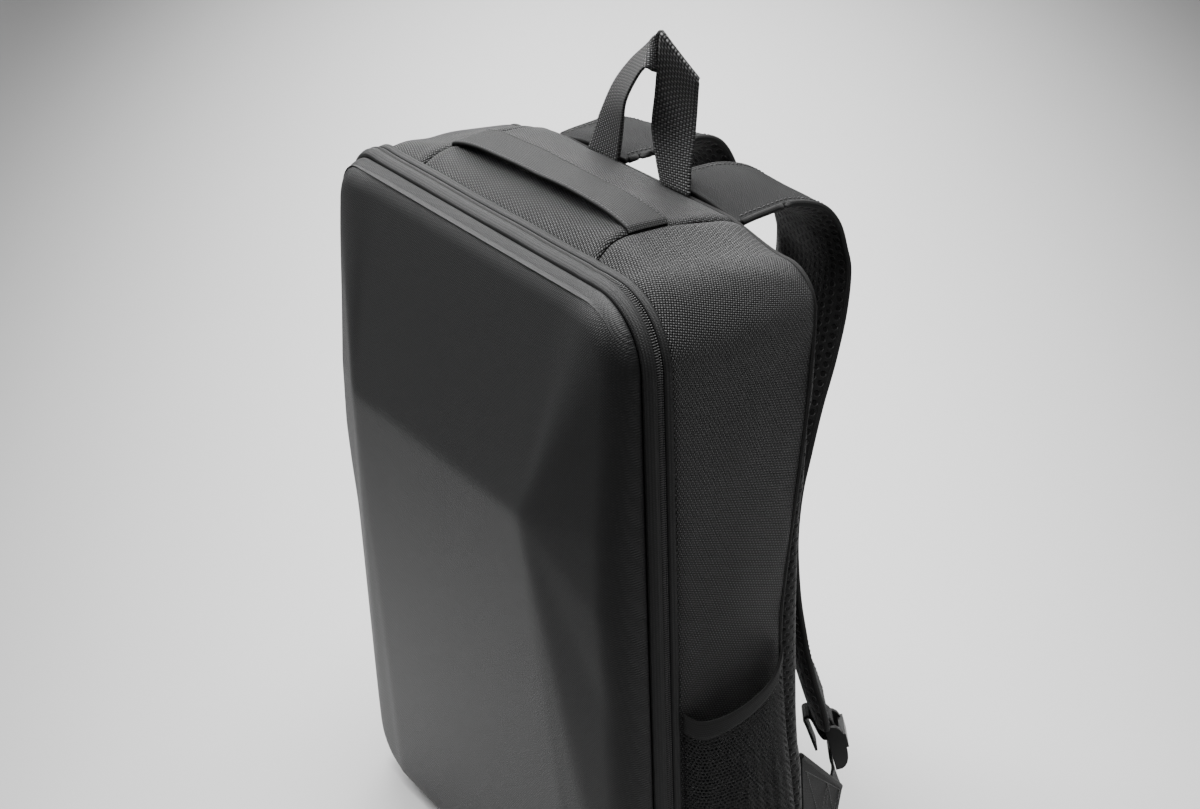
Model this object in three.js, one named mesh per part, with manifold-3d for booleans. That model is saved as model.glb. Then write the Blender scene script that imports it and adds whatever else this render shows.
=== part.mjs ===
// A hard shell backpack: a faceted moulded front, a cloth bag body zipped to it, a padded back
// with two shoulder straps, a flat top handle, a webbing hang loop and two mesh side pockets.
// Millimetres. +Z is up, the shell faces -Y, and the bag stands on the floor at z = 0.
import * as THREE from 'three';
import { mergeVertices } from 'three/addons/utils/BufferGeometryUtils.js';
import Module from 'manifold-3d';

const wasm = await Module();
wasm.setup();

// Driving sizes of the case
const caseWidth = 300;
const caseHeight = 430;
const gussetDepth = 106;
const rimCornerRadius = 36;
const rimLift = 3;
const seamClearance = 0.3;

// Moulded front shell
const shellWall = 3;
const ridgeRise = 42;
const topRise = 11;
const footRise = 25;
const ridgeHeight = 305;
const ridgeWidth = 185;
const creaseEndWidth = 220;
const shellEdgeRound = 9;
const shellDraft = 1.5;

// Zip band between the shell and the bag
const frontTapeWidth = 10.1;
const rearTapeWidth = 5.2;
const zipSlit = 1.4;
const tapeProud = 2.8;
const tapeSink = 1.5;
const coilWidth = 0.8;
const sliderWidth = 8;
const sliderLength = 12;
const sliderThickness = 3.4;
const pullWidth = 6.5;
const pullThickness = 1.9;

// Cloth body
const clothWall = 2.4;
const clothSeatOffset = 1.8;
const topSeamWidth = 180;
const topCrown = 9.5;
const shoulderCrown = 1.5;
const sideCrown = 3;
const crownPower = 0.75;
const rearBulge = 4;
const rearTopRadius = 22;
const rearFootRadius = 32;
const rearLip = 2;

// Padded back
const padEdgeInset = 0.6;
const padEdgeRound = 6;
const padCrown = 6;
const padCoreDepth = 95;
const padShares = [0.8, 0.5];

// Handle and hang loop
const handleWidth = 25;
const handleThickness = 1.8;
const handleLift = 6.2;
const handleSetback = 50;
const loopSpan = 100;
const loopRise = 87.5;
const webbingThickness = 1.5;

// Shoulder straps
const strapWidth = 70;
const strapFootWidth = 60;
const strapThickness = 11;
const strapEdgeThickness = 3;
const strapReach = 78;
const strapInFromSeam = 37;
const strapInFromSide = 44;
const strapTopCentre = topSeamWidth / 2 - strapInFromSeam;
const strapFootCentre = caseWidth / 2 - strapInFromSide;
const strapTurn = 33;
const strapArch = 9;
const strapTilt = 8;

// Ladder locks, their webbing and the wings
const webbingWidth = 20;
const lockWidth = 29;
const lockLength = 28;
const lockThickness = 4;
const lockBar = 4.4;
const lockSlot = 5.8;
const lockCheekRise = 8;
const lockTabLength = 9;
const lockTabPlace = 0.22;
const lockTabRise = 1.4;
const freeEnd = 10;
const wingThickness = 3;
const wingRootHigh = 120;
const wingRootLow = 18;
const wingReach = 59;
const wingTipHigh = 50;
const wingTipLow = 26;
const wingTipSlant = 5;
const wingHem = 2;
const wingRootInset = 4;
const wingRootWidth = caseWidth - 2 * wingRootInset;
const wingTipWidth = 226;

// Mesh pockets
const pocketWall = 1.2;
const pocketBulge = 14;
const pocketTop = 208;
const bindingHeight = 10;
const bindingWall = 2;

const rimY = -gussetDepth / 2;
const zipBandDepth = seamClearance + frontTapeWidth + zipSlit + rearTapeWidth;

// Height of the bag as a share of caseHeight, the rear seam of the side panel as a share of
// gussetDepth, and the outer face of the back pad as a share of gussetDepth.
const sideRows = [
  { height: 0.916, seam: 1.0, back: 1.055 },
  { height: 0.86, seam: 0.995, back: 1.045 },
  { height: 0.78, seam: 0.962, back: 1.015 },
  { height: 0.7, seam: 0.912, back: 0.98 },
  { height: 0.62, seam: 0.858, back: 0.955 },
  { height: 0.525, seam: 0.8, back: 0.945 },
  { height: 0.46, seam: 0.79, back: 0.945 },
  { height: 0.35, seam: 0.82, back: 0.955 },
  { height: 0.24, seam: 0.875, back: 0.99 },
  { height: 0.084, seam: 0.945, back: 1.02 },
];

// Edge of the shell's front face down its side: height as a share of caseHeight, and how far it
// stands ahead of the rim as a share of ridgeRise.
const shellEdgeRows = [
  { height: 0.916, rise: 0.39 },
  { height: 0.8, rise: 0.48 },
  { height: 0.7, rise: 0.571 },
  { height: 0.6, rise: 0.607 },
  { height: 0.525, rise: 0.58 },
  { height: 0.46, rise: 0.543 },
  { height: 0.084, rise: 0.53 },
];

// Outer edge of a shoulder strap, root to foot: height as a share of caseHeight, distance
// behind the back edge as a share of strapReach, sideways travel, turn, padding, crown over the
// width and extra height of the inner edge as shares of theirs.
const strapRows = [
  { height: 1.012, reach: 0.01, spread: 0, turn: 0, pad: 0, arch: 0, tilt: 0, leftTilt: 0 },
  { height: 1.012, reach: 0.12, spread: 0, turn: 0, pad: 0.3, arch: 0.3, tilt: 0, leftTilt: 0.1 },
  { height: 1.01, reach: 0.3, spread: 0, turn: 0, pad: 0.8, arch: 0.2, tilt: 0.1, leftTilt: 0.2 },
  { height: 1.008, reach: 0.47, spread: 0, turn: 0, pad: 1, arch: 0.1, tilt: 0.15, leftTilt: 0.5 },
  { height: 1.001, reach: 0.63, spread: 0, turn: 0, pad: 1, arch: 0, tilt: 0.2, leftTilt: 0.95 },
  { height: 0.986, reach: 0.79, spread: 0, turn: 0, pad: 1, arch: 0, tilt: 0.35, leftTilt: 1.25 },
  { height: 0.957, reach: 0.915, spread: 0, turn: 0, pad: 1, arch: 0, tilt: 0.75, leftTilt: 1.05 },
  { height: 0.92, reach: 0.975, spread: 0.01, turn: 0, pad: 1, arch: 0, tilt: 0.9, leftTilt: 0.9 },
  { height: 0.885, reach: 1, spread: 0.03, turn: 0, pad: 1, arch: 0, tilt: 0.8, leftTilt: 0.8 },
  { height: 0.83, reach: 0.96, spread: 0.06, turn: 0.05, pad: 1, arch: 0, tilt: 0.6, leftTilt: 0.6 },
  { height: 0.77, reach: 0.86, spread: 0.1, turn: 0.1, pad: 1, arch: 0, tilt: 0.4, leftTilt: 0.4 },
  { height: 0.71, reach: 0.73, spread: 0.15, turn: 0.16, pad: 1, arch: 0, tilt: 0.2, leftTilt: 0.2 },
  { height: 0.65, reach: 0.62, spread: 0.21, turn: 0.24, pad: 1, arch: 0, tilt: 0.1, leftTilt: 0.1 },
  { height: 0.6, reach: 0.54, spread: 0.26, turn: 0.31, pad: 1, arch: 0, tilt: 0, leftTilt: 0 },
  { height: 0.55, reach: 0.495, spread: 0.32, turn: 0.38, pad: 1, arch: 0, tilt: 0, leftTilt: 0 },
  { height: 0.5, reach: 0.485, spread: 0.39, turn: 0.46, pad: 1, arch: 0, tilt: 0, leftTilt: 0 },
  { height: 0.44, reach: 0.505, spread: 0.48, turn: 0.56, pad: 1, arch: 0.1, tilt: 0, leftTilt: 0 },
  { height: 0.38, reach: 0.56, spread: 0.59, turn: 0.68, pad: 1, arch: 0.15, tilt: 0, leftTilt: 0 },
  { height: 0.325, reach: 0.6, spread: 0.76, turn: 0.8, pad: 1, arch: 0.15, tilt: 0, leftTilt: 0 },
  { height: 0.275, reach: 0.65, spread: 0.91, turn: 0.91, pad: 0.95, arch: 0.1, tilt: 0, leftTilt: 0 },
  { height: 0.24, reach: 0.67, spread: 1, turn: 1, pad: 0.6, arch: 0, tilt: 0, leftTilt: 0 },
];

// Edges of the hang loop from its left foot over the fold to its right foot: sideways as a
// share of loopSpan, up as a share of loopRise, and forward as a share of loopSpan too.
const loopRows = [
  { sideA: -0.515, riseA: 0, foreA: 0, sideB: -0.21, riseB: 0, foreB: 0 },
  { sideA: -0.445, riseA: 0.145, foreA: 0, sideB: -0.15, riseB: 0.177, foreB: 0.015 },
  { sideA: -0.37, riseA: 0.3, foreA: 0, sideB: -0.092, riseB: 0.31, foreB: 0.04 },
  { sideA: -0.226, riseA: 0.54, foreA: 0, sideB: 0.03, riseB: 0.498, foreB: 0.105 },
  { sideA: -0.058, riseA: 0.732, foreA: 0, sideB: 0.155, riseB: 0.666, foreB: 0.135 },
  { sideA: 0.113, riseA: 0.885, foreA: 0, sideB: 0.253, riseB: 0.798, foreB: 0.125 },
  { sideA: 0.172, riseA: 0.95, foreA: 0, sideB: 0.21, riseB: 0.74, foreB: 0.03 },
  { sideA: 0.195, riseA: 0.985, foreA: -0.02, sideB: 0.17, riseB: 0.69, foreB: -0.07 },
  { sideA: 0.203, riseA: 0.985, foreA: -0.033, sideB: 0.27, riseB: 0.68, foreB: -0.17 },
  { sideA: 0.222, riseA: 0.985, foreA: -0.022, sideB: 0.405, riseB: 0.72, foreB: -0.122 },
  { sideA: 0.222, riseA: 0.97, foreA: -0.005, sideB: 0.437, riseB: 0.709, foreB: -0.103 },
  { sideA: 0.212, riseA: 0.85, foreA: 0, sideB: 0.431, riseB: 0.632, foreB: -0.1 },
  { sideA: 0.173, riseA: 0.59, foreA: 0, sideB: 0.423, riseB: 0.5, foreB: -0.095 },
  { sideA: 0.135, riseA: 0.354, foreA: 0, sideB: 0.425, riseB: 0.339, foreB: -0.075 },
  { sideA: 0.172, riseA: 0.137, foreA: 0, sideB: 0.442, riseB: 0.17, foreB: -0.035 },
  { sideA: 0.208, riseA: 0, foreA: 0, sideB: 0.472, riseB: 0, foreB: -0.003 },
];

// Pocket rim: place along the pocket from the zip band to the rear seam, height as a share of
// pocketTop.
const pocketRimRows = [
  { along: 0, height: 0.9 },
  { along: 0.12, height: 0.862 },
  { along: 0.5, height: 0.857 },
  { along: 0.7, height: 0.88 },
  { along: 0.88, height: 0.945 },
  { along: 1, height: 1 },
];

const clothColour = 0x3a3a3b;
const meshColour = 0x1a1a1b;
const shellMaterial = new THREE.MeshStandardMaterial({ color: 0x333435, roughness: 0.55, metalness: 0 });
const clothMaterial = new THREE.MeshStandardMaterial({ color: clothColour, roughness: 0.8, metalness: 0 });
const tapeMaterial = new THREE.MeshStandardMaterial({ color: 0x2c2c2d, roughness: 0.75, metalness: 0 });
const coilMaterial = new THREE.MeshStandardMaterial({ color: 0x131314, roughness: 0.5, metalness: 0 });
const meshMaterial = new THREE.MeshStandardMaterial({ color: meshColour, roughness: 0.95, metalness: 0 });
const webbingMaterial = new THREE.MeshStandardMaterial({ color: 0x202021, roughness: 0.85, metalness: 0 });
const plasticMaterial = new THREE.MeshStandardMaterial({ color: 0x1c1c1d, roughness: 0.4, metalness: 0 });
const sliderMaterial = new THREE.MeshStandardMaterial({ color: 0x2a2a2c, roughness: 0.35, metalness: 0.8 });

const bag = new THREE.Group();

const lerp = (a, b, t) => a + (b - a) * t;
const smooth = (t) => t * t * (3 - 2 * t);
const steps = (from, to, count) => Array.from({ length: count + 1 }, (_, i) => lerp(from, to, i / count));

// Value of one column of a table at a place in another, on straight lines between rows.
function readTable(rows, placeColumn, column, place) {
  const ascending = rows[0][placeColumn] < rows[rows.length - 1][placeColumn];
  const ordered = ascending ? rows : [...rows].reverse();
  if (place <= ordered[0][placeColumn]) return ordered[0][column];
  for (let i = 1; i < ordered.length; i += 1) {
    const low = ordered[i - 1];
    const high = ordered[i];
    if (place <= high[placeColumn]) {
      const t = (place - low[placeColumn]) / (high[placeColumn] - low[placeColumn]);
      return lerp(low[column], high[column], t);
    }
  }
  return ordered[ordered.length - 1][column];
}

// Adds a mesh whose faces are turned to point outwards.
function addSolid(name, points, faces, material) {
  let volume = 0;
  for (const [a, b, c] of faces) {
    const [pa, pb, pc] = [points[a], points[b], points[c]];
    volume += pa[0] * (pb[1] * pc[2] - pb[2] * pc[1])
      - pa[1] * (pb[0] * pc[2] - pb[2] * pc[0])
      + pa[2] * (pb[0] * pc[1] - pb[1] * pc[0]);
  }
  const ordered = volume < 0 ? faces.map(([a, b, c]) => [a, c, b]) : faces;
  const geometry = new THREE.BufferGeometry();
  geometry.setAttribute('position', new THREE.Float32BufferAttribute(points.flat(), 3));
  geometry.setIndex(ordered.flat());
  geometry.computeVertexNormals();
  const mesh = new THREE.Mesh(geometry, material);
  mesh.name = name;
  bag.add(mesh);
  return mesh;
}

// Closes two matching grids of points, given as columns, into one wall.
function addWall(name, outer, inner, material) {
  const columns = outer.length;
  const rows = outer[0].length;
  const points = [...outer.flat(), ...inner.flat()];
  const shift = columns * rows;
  const faces = [];
  const quad = (a, b, c, d) => faces.push([a, b, c], [a, c, d]);
  for (let i = 0; i < columns - 1; i += 1) {
    const here = i * rows;
    const next = here + rows;
    for (let j = 0; j < rows - 1; j += 1) {
      quad(here + j, next + j, next + j + 1, here + j + 1);
      quad(shift + here + j, shift + here + j + 1, shift + next + j + 1, shift + next + j);
    }
    const end = rows - 1;
    quad(here, shift + here, shift + next, next);
    quad(here + end, next + end, shift + next + end, shift + here + end);
  }
  const last = (columns - 1) * rows;
  for (let j = 0; j < rows - 1; j += 1) {
    quad(j, j + 1, shift + j + 1, shift + j);
    quad(last + j, shift + last + j, shift + last + j + 1, last + j + 1);
  }
  return addSolid(name, points, faces, material);
}

const subtract = (a, b) => [a[0] - b[0], a[1] - b[1], a[2] - b[2]];
const along = (p, direction, length) => p.map((value, k) => value + direction[k] * length);
const unit = (v) => v.map((value) => value / Math.hypot(...v));
const cross = (a, b) => [a[1] * b[2] - a[2] * b[1], a[2] * b[0] - a[0] * b[2], a[0] * b[1] - a[1] * b[0]];

// Gives a grid of points a thickness along its own normals.
function thicken(grid, thickness) {
  const columns = grid.length;
  const rows = grid[0].length;
  return grid.map((column, i) => column.map((point, j) => {
    const across = subtract(grid[Math.min(i + 1, columns - 1)][j], grid[Math.max(i - 1, 0)][j]);
    const down = subtract(grid[i][Math.min(j + 1, rows - 1)], grid[i][Math.max(j - 1, 0)]);
    return along(point, unit(cross(across, down)), thickness);
  }));
}

// The two faces of a strip that lies with its middle on a grid.
function stripFaces(grid, thickness) {
  return [thicken(grid, thickness / 2), thicken(grid, -thickness / 2)];
}

const mirrorGrid = (grid) => grid.map((column) => column.map(([x, y, z]) => [-x, y, z]));

// Place on a rounded outline in the XZ plane. Place runs 0 to 7 from the top centre down the
// right side to the bottom centre, and on to 14 up the left side: 1 is the break on the top,
// 2 to 3 the top corner, 3 to 4 the side, 4 to 5 the bottom corner, 6 the break on the bottom.
function outlinePoint(place, outline) {
  const wrappedPlace = ((place % 14) + 14) % 14;
  const mirrored = wrappedPlace > 7;
  const u = mirrored ? 14 - wrappedPlace : wrappedPlace;
  const { halfWidth, top, foot, topRadius, footRadius, breakX } = outline;
  let x = 0;
  let z = 0;
  let nx = 0;
  let nz = 1;
  if (u <= 1) {
    x = breakX * u;
    z = top;
  } else if (u <= 2) {
    x = lerp(breakX, halfWidth - topRadius, u - 1);
    z = top;
  } else if (u <= 3) {
    const angle = (u - 2) * Math.PI / 2;
    nx = Math.sin(angle);
    nz = Math.cos(angle);
    x = halfWidth - topRadius + topRadius * nx;
    z = top - topRadius + topRadius * nz;
  } else if (u <= 4) {
    nx = 1;
    nz = 0;
    x = halfWidth;
    z = lerp(top - topRadius, foot + footRadius, u - 3);
  } else if (u <= 5) {
    const angle = (u - 4) * Math.PI / 2;
    nx = Math.cos(angle);
    nz = -Math.sin(angle);
    x = halfWidth - footRadius + footRadius * nx;
    z = foot + footRadius + footRadius * nz;
  } else {
    nz = -1;
    x = u <= 6 ? lerp(halfWidth - footRadius, breakX, u - 5) : breakX * (7 - u);
    z = foot;
  }
  return mirrored ? { x: -x, z, nx: -nx, nz } : { x, z, nx, nz };
}

const rimOutline = {
  halfWidth: caseWidth / 2,
  top: rimLift + caseHeight,
  foot: rimLift,
  topRadius: rimCornerRadius,
  footRadius: rimCornerRadius,
};

function rimAt(place, offset, breakX) {
  const p = outlinePoint(place, { ...rimOutline, breakX });
  return { x: p.x + p.nx * offset, z: p.z + p.nz * offset };
}

const cornerSteps = 6;
const sideTop = rimOutline.top - rimCornerRadius;
const sideFoot = rimOutline.foot + rimCornerRadius;
const placeOfHeight = (z) => 3 + (sideTop - z) / (sideTop - sideFoot);
const sidePlaces = sideRows.map((row) => placeOfHeight(rimLift + row.height * caseHeight));
sidePlaces[0] = 3;
sidePlaces[sidePlaces.length - 1] = 4;

// Places of the stations from the top break round one side to the bottom break.
const flankPlaces = [
  1,
  ...steps(2, 3, cornerSteps).slice(0, -1),
  ...sidePlaces,
  ...steps(4, 5, cornerSteps).slice(1),
  6,
];
const loopPlaces = [...flankPlaces, ...flankPlaces.map((place) => 14 - place).reverse()];
const tapePlaces = [...steps(2, 3, cornerSteps), ...steps(4, 5, cornerSteps)]
  .flatMap((place) => [place, 14 - place])
  .sort((a, b) => a - b);

// How far the front of the shell's edge stands ahead of the rim, at a place on the outline.
const creaseX = creaseEndWidth / 2;
function edgeRise(place) {
  const u = place > 7 ? 14 - place : place;
  const height = lerp(sideRows[0].height, sideRows.at(-1).height, Math.min(Math.max(u - 3, 0), 1));
  const sideRise = ridgeRise * readTable(shellEdgeRows, 'height', 'rise', height);
  if (u <= 1) return topRise;
  if (u <= 3) return lerp(topRise, sideRise, smooth((u - 1) / 2));
  if (u <= 4) return sideRise;
  if (u <= 6) return lerp(sideRise, footRise, smooth((u - 4) / 2));
  return footRise;
}

// One face of the shell: the side wall up from the rim, the rounded edge, then flat facets
// that meet at the two ends of the ridge.
function shellSkin(inset) {
  const edgeRows = [
    { turn: 0, rise: 0 },
    { turn: 0, rise: 1 },
    { turn: 30, rise: 1 },
    { turn: 60, rise: 1 },
    { turn: 90, rise: 1 },
  ];
  const points = [];
  for (const { turn, rise } of edgeRows) {
    const angle = turn * Math.PI / 180;
    for (const place of loopPlaces) {
      const height = Math.max(edgeRise(place) - shellEdgeRound, 0.5);
      const back = (1 - Math.cos(angle)) * shellEdgeRound;
      const ahead = rise * (height + Math.sin(angle) * shellEdgeRound);
      const p = rimAt(place, -inset - shellDraft * rise - back, creaseX);
      points.push([p.x, rimY - Math.max(ahead - inset * rise, 0), p.z]);
    }
  }
  const count = loopPlaces.length;
  const faces = [];
  for (let row = 0; row < edgeRows.length - 1; row += 1) {
    for (let i = 0; i < count; i += 1) {
      const next = (i + 1) % count;
      const low = row * count;
      const high = low + count;
      faces.push([low + i, low + next, high + next], [low + i, high + next, high + i]);
    }
  }
  const lastRow = (edgeRows.length - 1) * count;
  const ridgeRight = points.length;
  const ridgeLeft = ridgeRight + 1;
  const ridgeZ = rimLift + ridgeHeight;
  points.push([ridgeWidth / 2, rimY - ridgeRise + inset, ridgeZ]);
  points.push([-ridgeWidth / 2, rimY - ridgeRise + inset, ridgeZ]);
  const flank = flankPlaces.length;
  for (let i = 0; i < flank - 1; i += 1) {
    faces.push([lastRow + i, lastRow + i + 1, ridgeRight]);
    faces.push([lastRow + flank + i, lastRow + flank + i + 1, ridgeLeft]);
  }
  const [topRight, footRight] = [lastRow, lastRow + flank - 1];
  const [footLeft, topLeft] = [lastRow + flank, lastRow + 2 * flank - 1];
  faces.push([footRight, footLeft, ridgeLeft], [footRight, ridgeLeft, ridgeRight]);
  faces.push([topLeft, topRight, ridgeRight], [topLeft, ridgeRight, ridgeLeft]);
  return { points, faces };
}

function addFrontShell() {
  const outer = shellSkin(0);
  const inner = shellSkin(shellWall);
  const shift = outer.points.length;
  const count = loopPlaces.length;
  const faces = [...outer.faces, ...inner.faces.map(([a, b, c]) => [a + shift, c + shift, b + shift])];
  for (let i = 0; i < count; i += 1) {
    const next = (i + 1) % count;
    faces.push([i, shift + i, shift + next], [i, shift + next, next]);
  }
  addSolid('front_shell', [...outer.points, ...inner.points], faces, shellMaterial);
}

// A band with a constant section that runs all round the rim. The section lists how far back
// from the rim plane and how far out from the rim each corner lies.
function addRimBand(name, section, material) {
  const points = tapePlaces.flatMap((place) => section.map(({ back, out }) => {
    const p = rimAt(place, out, topSeamWidth / 2);
    return [p.x, rimY + back, p.z];
  }));
  const corners = section.length;
  const faces = [];
  for (let i = 0; i < tapePlaces.length; i += 1) {
    const here = i * corners;
    const next = ((i + 1) % tapePlaces.length) * corners;
    for (let k = 0; k < corners; k += 1) {
      const turn = (k + 1) % corners;
      faces.push([here + k, next + k, next + turn], [here + k, next + turn, here + turn]);
    }
  }
  addSolid(name, points, faces, material);
}

function addZipBand() {
  const round = 1.2;
  const slitFront = seamClearance + frontTapeWidth;
  const slitRear = slitFront + zipSlit;
  const rearEnd = slitRear + rearTapeWidth;
  addRimBand('zip_tape_front', [
    { back: seamClearance, out: -tapeSink },
    { back: seamClearance, out: tapeProud - round },
    { back: seamClearance + round, out: tapeProud },
    { back: slitFront - round / 2, out: tapeProud },
    { back: slitFront, out: tapeProud - round / 2 },
    { back: slitFront, out: -tapeSink },
  ], tapeMaterial);
  addRimBand('zip_tape_rear', [
    { back: slitRear, out: -tapeSink },
    { back: slitRear, out: tapeProud - round / 2 },
    { back: slitRear + round / 2, out: tapeProud },
    { back: rearEnd - round, out: tapeProud },
    { back: rearEnd, out: tapeProud - round },
    { back: rearEnd, out: -tapeSink },
  ], tapeMaterial);
  const slitMiddle = (slitFront + slitRear) / 2;
  addRimBand('zip_coil', [
    { back: slitMiddle - coilWidth / 2, out: -tapeSink },
    { back: slitMiddle - coilWidth / 2, out: tapeProud - round },
    { back: slitMiddle + coilWidth / 2, out: tapeProud - round },
    { back: slitMiddle + coilWidth / 2, out: -tapeSink },
  ], coilMaterial);
}

// Outer face of the cloth bag. Back runs 0 at the zip band to 1 at the rear seam.
const rearOutline = {
  halfWidth: caseWidth / 2 + rearBulge,
  top: rimLift + caseHeight + rearLip,
  foot: 0,
  topRadius: rearTopRadius,
  footRadius: rearFootRadius,
  breakX: topSeamWidth / 2,
};
const frontOutline = { ...rimOutline, breakX: topSeamWidth / 2 };

function crownAt(u) {
  if (u <= 1) return topCrown;
  if (u <= 3) return lerp(topCrown, shoulderCrown, smooth((u - 1) / 2));
  if (u <= 4) return lerp(shoulderCrown, sideCrown, smooth(Math.min((u - 3) * 3, 1)));
  if (u <= 5) return lerp(sideCrown, 0, smooth(u - 4));
  return 0;
}

function rearDepth(u) {
  const height = u < 3 ? 1 : (u > 4 ? 0 : lerp(sideRows[0].height, sideRows.at(-1).height, u - 3));
  return gussetDepth * readTable(sideRows, 'height', 'seam', height);
}

const backDepth = (z) => gussetDepth * readTable(sideRows, 'height', 'back', (z - rimLift) / caseHeight);

function bagPoint(place, back) {
  const u = place > 7 ? 14 - place : place;
  const front = outlinePoint(place, frontOutline);
  const rear = outlinePoint(place, rearOutline);
  const seat = u <= 4 ? clothSeatOffset : lerp(clothSeatOffset, rimLift, smooth(Math.min(u - 4, 1)));
  const out = seat * (1 - back) + crownAt(u) * Math.sin(Math.PI * back) ** crownPower;
  const blend = smooth(back);
  const nx = lerp(front.nx, rear.nx, blend);
  const nz = lerp(front.nz, rear.nz, blend);
  const start = zipBandDepth + seamClearance;
  const z = lerp(front.z, rear.z, back) + nz * out;
  return {
    point: [lerp(front.x, rear.x, back) + nx * out, rimY + lerp(start, rearDepth(u), back), Math.max(z, 0)],
    normal: unit([nx, 0, nz]),
  };
}

const backSteps = [0, 0.09, 0.25, 0.45, 0.65, 0.85, 1];

function addPanel(name, places, trimStart, trimEnd) {
  const outer = places.map((place, i) => backSteps.map((back) => {
    const { point } = bagPoint(place, back);
    const trim = i === 0 ? trimStart : (i === places.length - 1 ? trimEnd : 0);
    return [point[0] + trim, point[1], point[2]];
  }));
  const inner = places.map((place, i) => backSteps.map((back, j) => {
    const { normal } = bagPoint(place, back);
    return along(outer[i][j], normal, -clothWall);
  }));
  addWall(name, outer, inner, clothMaterial);
}

function addBody() {
  const half = seamClearance / 2;
  addPanel('top_panel', steps(-1, 1, 6), half, -half);
  addPanel('side_panel_right', flankPlaces, half, half);
  addPanel('bottom_panel', steps(6, 8, 4), -half, half);
  addPanel('side_panel_left', flankPlaces.map((place) => 14 - place).reverse(), -half, -half);
}

// The padded back: a thick closed pad whose front edge follows the rear seam.
function addBackPanel() {
  const places = [0, ...flankPlaces, 7, ...flankPlaces.map((place) => 14 - place).reverse()];
  const centreZ = rimLift + caseHeight / 2;
  const ring = (inset, depthAt) => places.map((place) => {
    const p = outlinePoint(place, rearOutline);
    const x = p.x - p.nx * inset;
    const z = p.z - p.nz * inset;
    return [x, rimY + depthAt(place > 7 ? 14 - place : place, x, z), z];
  });
  const scaled = (share, depthAt) => ring(padEdgeRound, depthAt).map(([x, , z]) => {
    const px = x * share;
    const pz = centreZ + (z - centreZ) * share;
    return [px, rimY + depthAt(0, px, pz), pz];
  });
  const seam = (u) => rearDepth(u) + seamClearance;
  const crowned = (share) => (u, x, z) => backDepth(z) + padCrown * (1 - share * share);
  const rows = [
    scaled(padShares.at(-1), () => padCoreDepth),
    ring(padEdgeRound, seam),
    ring(padEdgeInset, seam),
    ring(padEdgeInset, (u, x, z) => lerp(seam(u), backDepth(z), 0.45)),
    ring(padEdgeRound * 0.4, (u, x, z) => lerp(seam(u), backDepth(z), 0.85)),
    ring(padEdgeRound, (u, x, z) => backDepth(z)),
    ...padShares.map((share) => scaled(share, crowned(share))),
  ];
  const points = rows.flat();
  const count = places.length;
  const faces = [];
  for (let row = 0; row < rows.length - 1; row += 1) {
    for (let i = 0; i < count; i += 1) {
      const next = (i + 1) % count;
      const [a, b] = [row * count + i, row * count + next];
      faces.push([a, b, b + count], [a, b + count, a + count]);
    }
  }
  const frontCentre = points.length;
  points.push([0, rimY + padCoreDepth, centreZ], [0, rimY + backDepth(centreZ) + padCrown, centreZ]);
  const lastRow = (rows.length - 1) * count;
  for (let i = 0; i < count; i += 1) {
    const next = (i + 1) % count;
    faces.push([i, frontCentre, next], [lastRow + i, lastRow + next, frontCentre + 1]);
  }
  addSolid('back_panel', points, faces, meshMaterial);
}

// Height of the top cloth under a point of the handle.
function topHeight(x, depth) {
  const start = zipBandDepth + seamClearance;
  const back = (depth - start) / (gussetDepth - start);
  return bagPoint(Math.abs(x) / (topSeamWidth / 2), back).point[2];
}

function addHandle() {
  const reach = topSeamWidth / 2 - 1;
  const outer = steps(-1, 1, 16).map((share) => [-0.5, 0, 0.5].map((side) => {
    const depth = handleSetback + side * handleWidth;
    const lift = handleLift * Math.min((1 - Math.abs(share)) * 6, 1) ** 0.8;
    const z = topHeight(share * reach, depth) + seamClearance * 1.5 + lift + handleThickness;
    return [share * reach, rimY + depth, z];
  }));
  const inner = outer.map((column) => column.map(([x, y, z]) => [x, y, z - handleThickness]));
  addWall('top_handle', outer, inner, webbingMaterial);
}

// A smooth line through the rows of a table, as points of one kind.
function smoothRows(rows, toPoint, count) {
  const points = rows.map((row) => new THREE.Vector3(...toPoint(row)));
  const curve = new THREE.CatmullRomCurve3(points, false, 'centripetal');
  return steps(0, 1, count).map((t) => curve.getPoint(t).toArray());
}

function addHangLoop() {
  const footDepth = gussetDepth - webbingThickness;
  const footZ = topHeight(0, footDepth) + seamClearance;
  const loopY = rimY + footDepth;
  const count = loopRows.length * 2;
  const edge = (side, rise, fore) => smoothRows(loopRows, (row) => [
    row[side] * loopSpan,
    loopY - row[fore] * loopSpan,
    footZ + row[rise] * loopRise,
  ], count);
  const first = edge('sideA', 'riseA', 'foreA');
  const second = edge('sideB', 'riseB', 'foreB');
  const grid = first.map((point, i) => [point, second[i]]);
  addWall('hang_loop', ...stripFaces(grid, webbingThickness), webbingMaterial);
}

// Frames of a shoulder strap: the middle of its outer face, the way down it, across it and out.
function strapFrames() {
  const toPoint = (row) => [
    lerp(strapTopCentre, strapFootCentre, row.spread),
    rimY + gussetDepth + seamClearance + row.reach * strapReach,
    rimLift + row.height * caseHeight,
  ];
  return strapRows.map((row, i) => {
    const before = toPoint(strapRows[Math.max(i - 1, 0)]);
    const after = toPoint(strapRows[Math.min(i + 1, strapRows.length - 1)]);
    const down = unit(subtract(after, before));
    const turn = row.turn * strapTurn * Math.PI / 180;
    const level = [Math.cos(turn), -Math.sin(turn), 0];
    const out = unit(cross(level, down));
    return { row, middle: toPoint(row), down, across: unit(cross(down, out)), out };
  });
}

const strapLine = strapFrames();

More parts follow.
